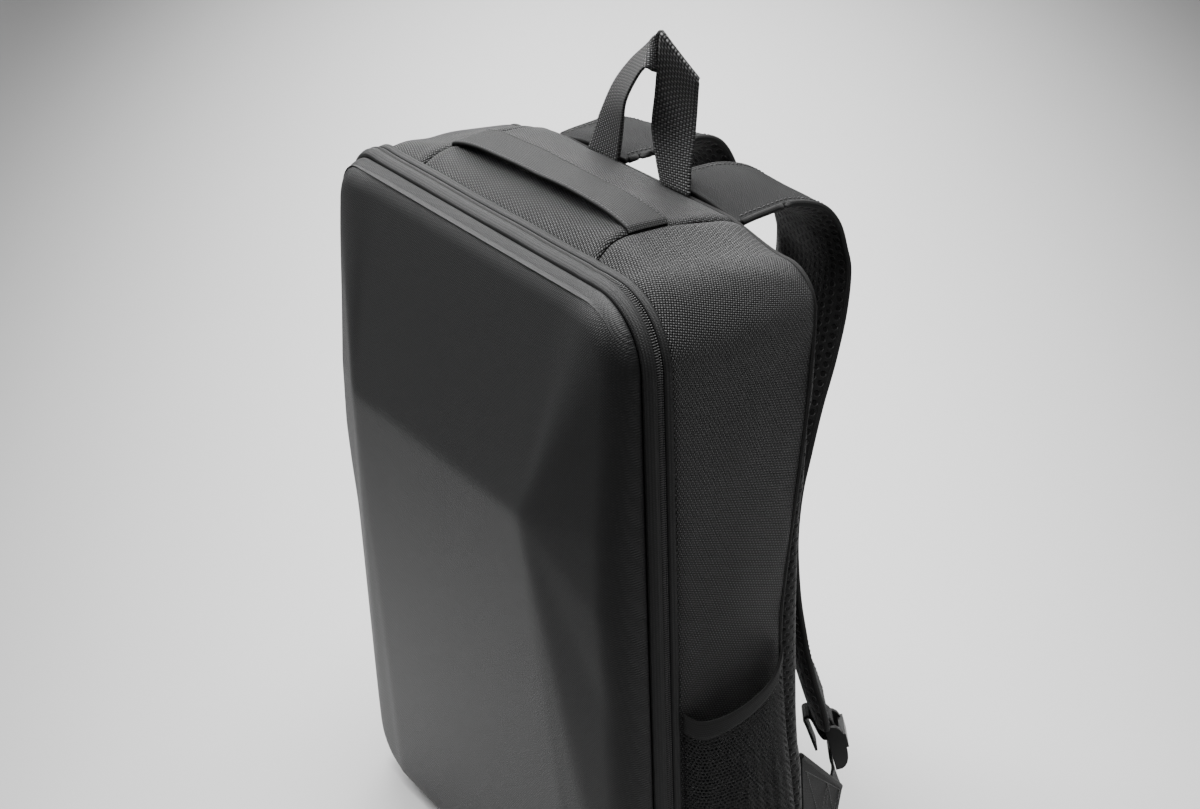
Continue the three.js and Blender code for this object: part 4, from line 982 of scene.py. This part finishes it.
handle = {"reach": 90, "shift": -4, "middle": 50, "width": 25, "lift": 6.2, "rearFall": 2.4,
          "thickness": 1.8, "clearance": 0.45, "endSink": 1.9, "endStart": 0.975, "wrinkle": 0.35,
          "arch": 0.5, "stitch": (2.1, 0.55, 0.15), "stitchPitch": 2.8}
loop = {
    "span": 100, "rise": 87.5, "depth": 104.5, "thickness": 1.5,
    # front edge across, up and towards the shell, then the same for the rear edge
    "rows": [
        (-.515, 0, 0, -.21, 0, 0), (-.445, .145, 0, -.15, .177, .015), (-.37, .3, 0, -.092, .31, .04),
        (-.226, .54, 0, .03, .498, .105), (-.058, .732, 0, .155, .666, .135),
        (.113, .885, 0, .253, .798, .125), (.172, .95, 0, .21, .74, .03),
        (.195, .985, -.02, .17, .69, -.07), (.203, .985, -.033, .27, .68, -.17),
        (.222, .985, -.022, .405, .72, -.122), (.222, .97, -.005, .437, .709, -.103),
        (.212, .85, 0, .431, .632, -.1), (.173, .59, 0, .423, .5, -.095), (.135, .354, 0, .425, .339, -.075),
        (.172, .137, 0, .442, .17, -.035), (.208, 0, 0, .472, 0, -.003),
    ],
}


def topHeight(x, depth):
    back = (depth - body["start"]) / (case["depth"] - body["start"])
    place = np.where(x > 0, x / rim["breakX"][0], x / rim["breakX"][1])
    return bodyPoint(place, back)[0][..., 2]


def buildHandle():
    # a flat strip that clears the top cloth by a lift which falls to nothing at both seams
    share = np.sin(np.linspace(-np.pi / 2, np.pi / 2, 150))
    side = np.linspace(-0.5, 0.5, 24)
    s, w = np.meshgrid(share, side, indexing="ij")
    depth = handle["middle"] + w * handle["width"]
    x = handle["shift"] + s * handle["reach"]
    rise = handle["lift"] * (1 - np.abs(s) ** 4) - handle["rearFall"] * (w + 0.5) * (1 - s**4)
    sink = handle["endSink"] * smoothStep((np.abs(s) - handle["endStart"]) / (1 - handle["endStart"]))
    z = topHeight(x, depth) + handle["clearance"] + rise + handle["thickness"] / 2 - sink
    z = z + handle["wrinkle"] * ripple(x, depth, 60, 21) * (1 - s**2)
    z = z + handle["arch"] * (1 - (2 * w) ** 2) * (1 - s**4)
    grid = np.stack([x, rimY + depth, z], -1)
    makeSlab("topHandle", grid, handle["thickness"], handleCloth, "top_handle", endSoft=2)
    for name, row in (("handleStitchFront", 1), ("handleStitchRear", -2)):
        above = np.array([0, 0, handle["thickness"] / 2 + 0.1])
        line = evenCurve(grid[6:-6, row] + above, handle["stitchPitch"])
        along = unit(np.gradient(line, axis=0))
        outward = unit(np.cross(along, np.cross(np.array([0, 0, 1.0]), along)))
        thread(name, line, along, outward, handle["stitch"], sewingThread)


def buildLoop():
    table = splineRows(loop["rows"], 150)
    foot = float(topHeight(np.array(0.0), np.array(loop["depth"] * 1.0))) + 0.3
    y = rimY + loop["depth"]

    def edge(first):
        return np.stack([table[:, first] * loop["span"], y - table[:, first + 2] * loop["span"],
                         foot + table[:, first + 1] * loop["rise"]], -1)

    share = np.linspace(0, 1, 13)[None, :, None]
    grid = lerp(edge(0)[:, None], edge(3)[:, None], share)
    makeSlab("hangLoop", grid, loop["thickness"], loopCloth, "hang_loop")


buildHandle()
buildLoop()
print("handle and hang loop built")


# shoulder straps

strap = {
    "topX": 53, "footX": 106, "reach": 78, "turn": 33, "width": 70, "footWidth": 60,
    "thickness": 11, "edge": 3, "arch": 9, "tilt": 8, "rootDrop": 4.4, "binding": 1.9,
    "length": 460, "wrinkle": 0.3, "fill": 0.6,
    "stitchPlace": 0.9, "stitchPitch": 3, "stitch": (2.2, 0.6, 0.15),
    "rows": [
        (1.012, .01, 0, 0, 0, 0, 0, 0), (1.012, .12, 0, 0, .3, .3, 0, .1),
        (1.01, .3, 0, 0, .8, .2, .1, .2), (1.008, .47, 0, 0, 1, .1, .15, .5),
        (1.001, .63, 0, 0, 1, 0, .2, .95), (.986, .79, 0, 0, 1, 0, .35, 1.25),
        (.957, .915, 0, 0, 1, 0, .75, 1.05), (.92, .975, .01, 0, 1, 0, .9, .9),
        (.885, 1, .03, 0, 1, 0, .8, .8), (.83, .96, .06, .05, 1, 0, .6, .6),
        (.77, .86, .1, .1, 1, 0, .4, .4), (.71, .73, .15, .16, 1, 0, .2, .2),
        (.65, .62, .21, .24, 1, 0, .1, .1), (.6, .54, .26, .31, 1, 0, 0, 0),
        (.55, .495, .32, .38, 1, 0, 0, 0), (.5, .485, .39, .46, 1, 0, 0, 0),
        (.44, .505, .48, .56, 1, .1, 0, 0), (.38, .56, .59, .68, 1, .15, 0, 0),
        (.325, .6, .76, .8, 1, .15, 0, 0), (.275, .65, .91, .91, .95, .1, 0, 0),
        (.24, .67, 1, 1, .6, 0, 0, 0),
    ],
}


def strapFrames(count, isRight=True):
    # each row gives height, reach, spread, turn, padding, arch, and the tilt on either side
    table = splineRows(strap["rows"], count)
    height, reach, spread, turn, padding, arch, tilt, leftTilt = table.T
    tilt = tilt if isRight else leftTilt
    middle = np.stack([
        lerp(strap["topX"], strap["footX"], spread),
        rimY + case["depth"] + 0.3 + reach * strap["reach"],
        case["lift"] + height * case["height"],
    ], -1)
    down = unit(np.gradient(middle, axis=0))
    angle = np.radians(turn * strap["turn"])
    level = np.stack([np.cos(angle), -np.sin(angle), 0 * angle], -1)
    out = unit(np.cross(level, down))
    return {"middle": middle, "down": down, "out": out, "across": unit(np.cross(down, out)),
            "pad": padding, "arch": arch, "tilt": tilt, "end": np.linspace(0, 1, count)}


def strapFace(frames, share, isOuter):
    # the middle line carried across by its half width, lifted by an arch and a tilt; the
    # inner face lies a thickness lower, which thins towards both edges as share to the 4
    half = lerp(strap["width"], strap["footWidth"], smoothStep(np.maximum(frames["end"] - 0.8, 0) * 5)) / 2
    s = share[None, :]
    full = lerp(strap["edge"], strap["thickness"], frames["pad"])[:, None]
    thick = lerp(full, strap["edge"], np.abs(s) ** 4)
    lift = strap["arch"] * frames["arch"][:, None] * (1 - s**2)
    lift = lift + strap["tilt"] * frames["tilt"][:, None] * (1 - s) / 2
    depth = 0 * thick if isOuter else thick
    run = frames["end"][:, None] * strap["length"]
    rough = strap["wrinkle"] * ripple(run, s * strap["width"] / 2, 45, 31) * (1 - s**4)
    place = frames["middle"][:, None] + frames["across"][:, None] * (s * half[:, None])[..., None]
    sag = strap["rootDrop"] * smoothStep((s + 0.1) / 1.1) * (1 - smoothStep(frames["end"] / 0.16))[:, None]
    fallen = place + frames["out"][:, None] * (lift - depth + rough)[..., None]
    return fallen - np.array([0, 0, 1.0]) * sag[..., None]


def buildStrap(side, turn):
    frames = strapFrames(200, side == "Right")
    share = np.sin(np.linspace(-np.pi / 2, np.pi / 2, 33))
    outer, inner = strapFace(frames, share, True), strapFace(frames, share, False)
    rings = turn(np.concatenate([outer, inner[:, ::-1]], 1))
    faces = tubeFaces(*rings.shape[:2])
    uv = tubeUv(lengthAlong(outer[:, outer.shape[1] // 2]), thereAndBack(share * strap["width"] / 2))
    column = np.tile(np.arange(rings.shape[1]), len(outer) - 1)
    isMesh = np.concatenate([column >= 32, np.zeros(len(faces) - len(column), bool)])  # the inner face
    piece = makePiece(f"shoulderStrap{side}", rings, faces, [strapCloth, airMesh], uv,
                      faceMaterial=isMesh, replaced=[f"shoulder_strap_{side.lower()}"])
    for name, column in (("Inner", -1), ("Outer", 0)):
        edge = evenCurve((outer[3:-1, column] + inner[3:-1, column]) / 2, 3)
        tube(f"strapBinding{name}{side}", turn(edge), strap["binding"], bindingCloth)
    for name, at in (("Inner", strap["stitchPlace"]), ("Outer", -strap["stitchPlace"])):
        line = evenCurve(strapFace(frames, np.array([at]), True)[6:-3, 0], strap["stitchPitch"])
        along = unit(np.gradient(line, axis=0))
        outward = frames["out"][np.linspace(6, 196, len(line)).astype(int)]
        outward = unit(outward - along * (outward * along).sum(-1, keepdims=True))
        thread(f"strapStitch{name}{side}", turn(line + outward * 0.15), turn(along), turn(outward),
               strap["stitch"], sewingThread)


for side, turn in sides:
    buildStrap(side, turn)
print("shoulder straps built")


# ladder lock, its webbing, and the wing

lock = {"length": 28, "bar": 4.4, "slot": 5.8, "thickness": 4, "webbing": 20, "strip": 1.5,
        "allowance": 5, "freeEnd": 10, "edge": 0.0006}
wing = {"x": (146, 113), "high": (120, 50), "low": (18, 26), "tipY": 112, "tipSlant": 5, "thickness": 3,
        "binding": 1.9, "wrinkle": (0.3, 0.8, 0), "stitch": (2.0, 0.6, 0.15), "stitchPitch": 2.6,
        "stitches": [((.1, .06), (.1, .93)), ((.1, .93), (.9, .93)), ((.9, .93), (.9, .06)),
                     ((.1, .62), (.9, .62)), ((.1, .62), (.9, .93)), ((.9, .62), (.1, .93)),
                     ((.1, .1), (.9, .62)), ((.9, .1), (.1, .62))]}

lockTop = -lock["length"] / 2
upperSlot = (lockTop + lock["bar"], lockTop + lock["bar"] + lock["slot"])
lowerSlot = (upperSlot[1] + lock["bar"], upperSlot[1] + lock["bar"] + lock["slot"])
barRest = lock["thickness"] / 2 + 0.3 + lock["strip"] / 2
barSide = lock["bar"] / 2 + lock["strip"] / 2 + 0.6
footFrame = strapFrames(21)
footFrame = {k: footFrame[k][-1] for k in ("middle", "down", "out", "across")}
lockMiddle = (footFrame["middle"] + footFrame["down"] * (lock["allowance"] + lock["length"] / 2)
              - footFrame["out"] * strap["edge"] / 2)


def lockPlace(across, down, out):
    across, down, out = np.broadcast_arrays(across, down, out)
    return (lockMiddle + across[..., None] * footFrame["across"] + down[..., None] * footFrame["down"]
            + out[..., None] * footFrame["out"])


def lockStrip(places):
    across = np.linspace(-0.5, 0.5, 11) * lock["webbing"]
    return lockPlace(across[None, :], places[:, 0][:, None], places[:, 1][:, None])


def anchorPlaces():
    half, start = lock["strip"] / 2, lockTop - lock["allowance"] + 0.6
    shoulder, waist = lockTop + lock["bar"] * 0.3, lerp(lockTop - lock["allowance"] + 0.6, lockTop, 0.4)
    angle = np.radians(np.linspace(80, -80, 9))
    bend = np.stack([upperSlot[0] - half + barRest * np.cos(angle), barRest * np.sin(angle)], -1)
    first = [(start, half + 0.3), (waist, barRest * 0.75), (lockTop - 0.3, barRest), (shoulder, barRest)]
    return np.concatenate([first, bend, [(a, -b) for a, b in first[::-1]]])


def webbingPlaces():
    bar, inside, t = (upperSlot[1] + lowerSlot[0]) / 2, -barRest, lock["strip"]
    free = lock["freeEnd"]
    return np.array([
        (lock["length"] / 2 + t / 2, inside - t / 2), (lowerSlot[1] + t / 2, inside - t / 2),
        (bar + barSide, inside + t / 2), (bar + barSide, barRest * 0.55),
        (bar + lock["bar"] * 0.54, barRest * 1.06), (bar - lock["bar"] * 0.54, barRest * 1.06),
        (bar - barSide, barRest * 0.55), (bar - barSide, inside + t / 2), (bar - barSide * 1.3, inside - t),
        (bar - barSide * 2.4, inside - t * 2), (lockTop - free * 0.4, inside - t * 3),
        (lockTop - free * 0.75, inside - t * 4), (lockTop - free * 0.8, inside - t * 5.4),
        (lockTop - free * 0.65, inside - t * 6.4), (lockTop - free * 0.2, inside - t * 6),
        (lowerSlot[0], inside - t * 5),
    ])


def wingCorners():
    x, high, low = wing["x"], wing["high"], wing["low"]
    root = [rimY + backDepth(h) + 0.3 + wing["thickness"] * 0.45 for h in (high[0], low[0])]
    return np.array([[x[0], root[0], high[0]], [x[0], root[1], low[0]],
                     [x[1], wing["tipY"], high[1]], [x[1], wing["tipY"] - wing["tipSlant"], low[1]]])


def bevelCopy(name, node, width, material):
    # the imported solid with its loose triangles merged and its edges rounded
    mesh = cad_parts[node].data.copy()
    piece = bpy.data.objects.new(name, mesh)
    bpy.context.collection.objects.link(piece)
    weld = piece.modifiers.new("weld", "WELD")
    weld.merge_threshold = 0.00005
    bevel = piece.modifiers.new("round", "BEVEL")
    bevel.width = width
    bevel.segments = 3
    bevel.limit_method = "ANGLE"
    bevel.angle_limit = 0.6
    mesh.materials.clear()
    mesh.materials.append(material)
    mesh.polygons.foreach_set("use_smooth", np.ones(len(mesh.polygons), bool))
    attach(piece, "root")
    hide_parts(node)


def buildWebbing(side, turn):
    # the folded loop, the webbing from the wing round the lock's bar to its free end, the lock
    low = side.lower()
    anchor = splineRows(anchorPlaces(), 60)
    makeSlab(f"anchorLoop{side}", turn(lockStrip(anchor)), lock["strip"], webbingCloth,
             f"anchor_loop_{low}")
    rootHigh, _, tipHigh, _ = wingCorners()
    edge = unit(rootHigh - tipHigh)
    ends = np.stack([tipHigh + edge * 2, tipHigh + edge * (2 + lock["webbing"])]) + np.array([0, 0, 1.2])
    strip = lockStrip(splineRows(webbingPlaces(), 110))
    start = lerp(ends[0], ends[1], np.linspace(0, 1, 11)[:, None])
    t = np.linspace(0, 1, 12)[:-1, None, None]
    bridge = lerp(start[None], strip[0][None], t) - footFrame["out"] * np.sin(np.pi * t) * 0.75
    makeSlab(f"adjustingWebbing{side}", turn(np.concatenate([bridge, strip])), lock["strip"], webbingCloth,
             f"adjusting_webbing_{low}")
    bevelCopy(f"ladderLock{side}", f"ladder_lock_{low}", lock["edge"], lockPlastic)


def buildWing(side, turn):
    # a flat double cloth between its four corners, with a slight wrinkle, stitches and a bound edge
    rootHigh, rootLow, tipHigh, tipLow = wingCorners()

    def onWing(down, out):
        return lerp(lerp(rootHigh, tipHigh, out), lerp(rootLow, tipLow, out), down)

    s, t = np.meshgrid(np.linspace(0, 1, 50), np.linspace(0, 1, 60), indexing="ij")
    grid = onWing(s[..., None], t[..., None])
    wrinkle = ripple(grid[..., 1], grid[..., 2], 50, 41) * np.sin(np.pi * t) * np.sin(np.pi * s)
    grid = grid + np.array(wing["wrinkle"]) * wrinkle[..., None]
    makeSlab(f"strapWing{side}", turn(grid), wing["thickness"] * 0.8, wingCloth,
             f"strap_wing_{side.lower()}")
    face = unit(np.cross(tipHigh - rootHigh, rootLow - rootHigh))
    face = face * np.sign(face[0])
    lines = [evenCurve(np.array([onWing(*start), onWing(*end)]), wing["stitchPitch"])
             for start, end in wing["stitches"]]
    middles = np.concatenate([(line[1:] + line[:-1]) / 2 for line in lines])
    middles = middles + face * (wing["thickness"] * 0.4 + 0.1)
    along = np.concatenate([unit(np.diff(line, axis=0)) for line in lines])
    thread(f"wingStitches{side}", turn(middles), turn(along), turn(np.broadcast_to(face, along.shape)),
           wing["stitch"], sewingThread)
    edgeLine = lerp(rootHigh, tipHigh, np.linspace(0.02, 0.985, 60)[:, None])
    tube(f"wingBinding{side}", turn(edgeLine), wing["binding"], bindingCloth)


for side, turn in sides:
    buildWebbing(side, turn)
    buildWing(side, turn)
print("locks, webbing and wings built")


# mesh pockets

pocket = {
    "foot": 4.55, "top": 208, "bulge": 14, "binding": 10, "bindingThickness": 2, "netThickness": 0.5,
    "fold": 0.12, "folds": 5, "gather": 0.5, "gathers": 60, "hem": (1.25, 0.7),
    "rimRows": [(0, 0.9), (0.12, 0.874), (0.3, 0.874), (0.5, 0.886), (0.7, 0.903), (0.85, 0.924),
                (0.94, 0.955), (1, 0.988)],  # place across and height of the rim, as shares
}


def pocketPoint(share, up, topDrop, proud):
    # stands off the side cloth by a bulge closed at its foot and ends: sin(pi share)^0.6
    # along, a quarter sine up and then a slow fall to half, with five soft folds at the rim
    table = splineRows(pocket["rimRows"], 120)
    rimHeight = case["lift"] + pocket["top"] * np.interp(share, table[:, 0], table[:, 1])
    straight = rim["top"] - rim["topRadius"][0], rim["foot"] + rim["footRadius"]
    rimPlace = 3 + (straight[0] - (rimHeight - topDrop)) / (straight[0] - straight[1])
    place = lerp(pocket["foot"], rimPlace, up)
    point, normal = bodyPoint(place, lerp(0.015, 0.985, share))
    ends = np.sin(np.pi * np.clip(share, 0, 1)) ** np.where(share > 0.5, 0.38, 0.6)
    fold = pocket["fold"] * np.sin(share * np.pi * pocket["folds"])
    fold = 1 + fold * up * (1 - smoothStep((up - 0.8) / 0.2))
    rise = np.sin(np.minimum(up / 0.4, 1) * np.pi / 2) * lerp(1, 0.5, smoothStep((up - 0.35) / 0.65))
    gather = pocket["gather"] * np.sin(share * pocket["gathers"] + 4 * up) * ends
    gather = gather * smoothStep((up - 0.2) / 0.5) * (1 - smoothStep((up - 0.75) / 0.2))
    return point + normal * (0.5 + proud + pocket["bulge"] * ends * rise * fold + gather)[..., None]


def buildPocket(side, turn):
    share, up = np.meshgrid(np.linspace(0, 1, 90), np.linspace(0, 1, 80), indexing="ij")
    low = side.lower()
    net = pocketPoint(share, up, pocket["binding"] * 0.6, 0.6)
    piece = makeSlab(f"meshPocket{side}", turn(net), pocket["netThickness"], pocketNet,
                     f"mesh_pocket_{low}")
    share, up = np.meshgrid(np.linspace(0, 1, 90), np.linspace(0, 1, 14), indexing="ij")
    hem = pocket["binding"] * lerp(*pocket["hem"], share)
    top, foot = pocketPoint(share, 1 + 0 * up, 0, 1), pocketPoint(share, 1 + 0 * up, hem, 1)
    rimGrid = lerp(foot, top, up[..., None])
    rolled = pocket["bindingThickness"] * np.sqrt(np.clip(1.02 - (2 * up - 1) ** 6, 0.05, 1))
    makeSlab(f"pocketBinding{side}", turn(rimGrid), rolled, bindingCloth, f"pocket_binding_{low}")


for side, turn in sides:
    buildPocket(side, turn)
print("mesh pockets built")


# zip sliders and their pulls

slider = {
    "x": -156.5, "y": -41.9, "half": 6, "pull": 6.5, "thickness": 1.9,
    "upper": {"z": 404, "line": [(1.5, 0), (6, 1.2), (10, 2.2), (13, .8), (20, -.6), (30, -2.4)]},
    "lower": {"z": 370, "line": [(1.5, 0), (8, .4), (14, -.6), (22, .2), (31, 2.2)]},
}


def buildSlider(name):
    values = slider[name]
    bevelCopy(f"zipSlider{name.title()}", f"zip_slider_{name}", 0.0005, sliderMetal)
    line = splineRows(values["line"], 40)
    width = slider["pull"] / 2 * np.minimum(0.55 + np.linspace(0, 1, 40) * 3, 1)
    across = np.linspace(-1, 1, 9)
    grid = np.stack([
        np.broadcast_to((slider["x"] - 0.3 - slider["thickness"] / 2 - line[:, 1])[:, None], (40, 9)),
        slider["y"] + width[:, None] * across,
        np.broadcast_to((values["z"] + slider["half"] - line[:, 0])[:, None], (40, 9)),
    ], -1)
    makeSlab(f"zipPull{name.title()}", grid, slider["thickness"], webbingCloth, f"zip_pull_{name}",
             endSoft=2)


buildSlider("upper")
buildSlider("lower")
print("sliders built")


# floor, light and camera

view = {
    "place": (0.92294, -0.57898, 0.86183),
    "forward": (-0.74729052, 0.48407758, -0.45522057),
    "right": (0.55827075, 0.82892063, -0.03499082),
    "up": (-0.36040345, 0.28028464, 0.88969089),
    "lens": 63.42,
}
studio = {
    # the floor's darker tone is painted shade, and its pale stripe is a painted pool of light
    "floor": 0.85, "floorPaintedShade": 0.14, "floorHalf": 20.0, "world": 0.17,
    "stripeTurn": -2.5709, "stripeMiddle": -0.08, "stripeFade": (0.9, 0.05), "nearFade": (-0.5, -0.05),
    # place, aim, size and power of each soft light
    "lights": {
        "overhead": ((-0.15, 0.1, 2.5), (-0.1, 0.0, 0), (1.5, 1.5), 100),
        "backLeft": ((-1.7, 1.15, 1.45), (0, 0, 0.42), (1.7, 1.1), 32),
        "left": ((-1.9, -0.8, 1.75), (0, 0, 0.42), (1.0, 1.0), 52),
    },
}


def buildStage():
    # painted light: pale along a wide stripe that leads away from the camera, with painted shade
    # to both sides of it and in front of what the camera sees, standing in for the lamps' falloff
    floorMaterial, tree, shader = startMaterial("paintedLightFloor", grey(studio["floor"]), 0.7, specular=0.2)
    turned = coordinates(tree, "object", studio["stripeTurn"])
    split = tree.nodes.new("ShaderNodeSeparateXYZ")
    tree.links.new(turned, split.inputs[0])
    aside = mathNode(tree, "ABSOLUTE", mathNode(tree, "SUBTRACT", split.outputs[1], studio["stripeMiddle"]))
    paintedLightRamps = []
    for value, fade in ((aside, studio["stripeFade"]), (split.outputs[0], studio["nearFade"])):
        ramp = tree.nodes.new("ShaderNodeMapRange")
        ramp.interpolation_type = "SMOOTHSTEP"
        ramp.inputs["From Min"].default_value, ramp.inputs["From Max"].default_value = fade
        tree.links.new(value, ramp.inputs["Value"])
        paintedLightRamps.append(ramp.outputs["Result"])
    mask = mathNode(tree, "MULTIPLY", *paintedLightRamps)
    brightness = mottled(tree, 3.0, 0.02)["Factor"]
    tint(tree, shader, grey(studio["floorPaintedShade"]), grey(studio["floor"]), mask, brightness)
    mesh = bpy.data.meshes.new("floor")
    half = studio["floorHalf"]
    corners = [(-half, -half, 0), (half, -half, 0), (half, half, 0), (-half, half, 0)]
    mesh.from_pydata(corners, [], [(0, 1, 2, 3)])
    mesh.materials.append(floorMaterial)
    floor = bpy.data.objects.new("floor", mesh)
    bpy.context.collection.objects.link(floor)


def softbox(name, place, target, size, power):
    data = bpy.data.lights.new(name, "AREA")
    data.shape = "RECTANGLE"
    data.size, data.size_y = size
    data.energy = power
    light = bpy.data.objects.new(name, data)
    light.location = place
    aim = Vector(target) - Vector(place)
    light.rotation_euler = aim.to_track_quat("-Z", "Y").to_euler()
    bpy.context.collection.objects.link(light)


def buildCamera():
    data = bpy.data.cameras.new("camera")
    data.lens = view["lens"]
    data.sensor_width = 36
    data.sensor_fit = "HORIZONTAL"
    camera = bpy.data.objects.new("camera", data)
    axes = Matrix((view["right"], view["up"], [-v for v in view["forward"]])).transposed()
    camera.matrix_world = Matrix.Translation(view["place"]) @ axes.to_4x4()
    bpy.context.collection.objects.link(camera)
    bpy.context.scene.camera = camera


def buildLight():
    world = bpy.data.worlds.new("studio")
    bpy.context.scene.world = world
    world.use_nodes = True
    world.node_tree.nodes["Background"].inputs["Color"].default_value = (1, 1, 1, 1)
    world.node_tree.nodes["Background"].inputs["Strength"].default_value = studio["world"]
    for name, values in studio["lights"].items():
        softbox(name, *values)


buildStage()
buildCamera()
buildLight()
print("stage, camera and light built")
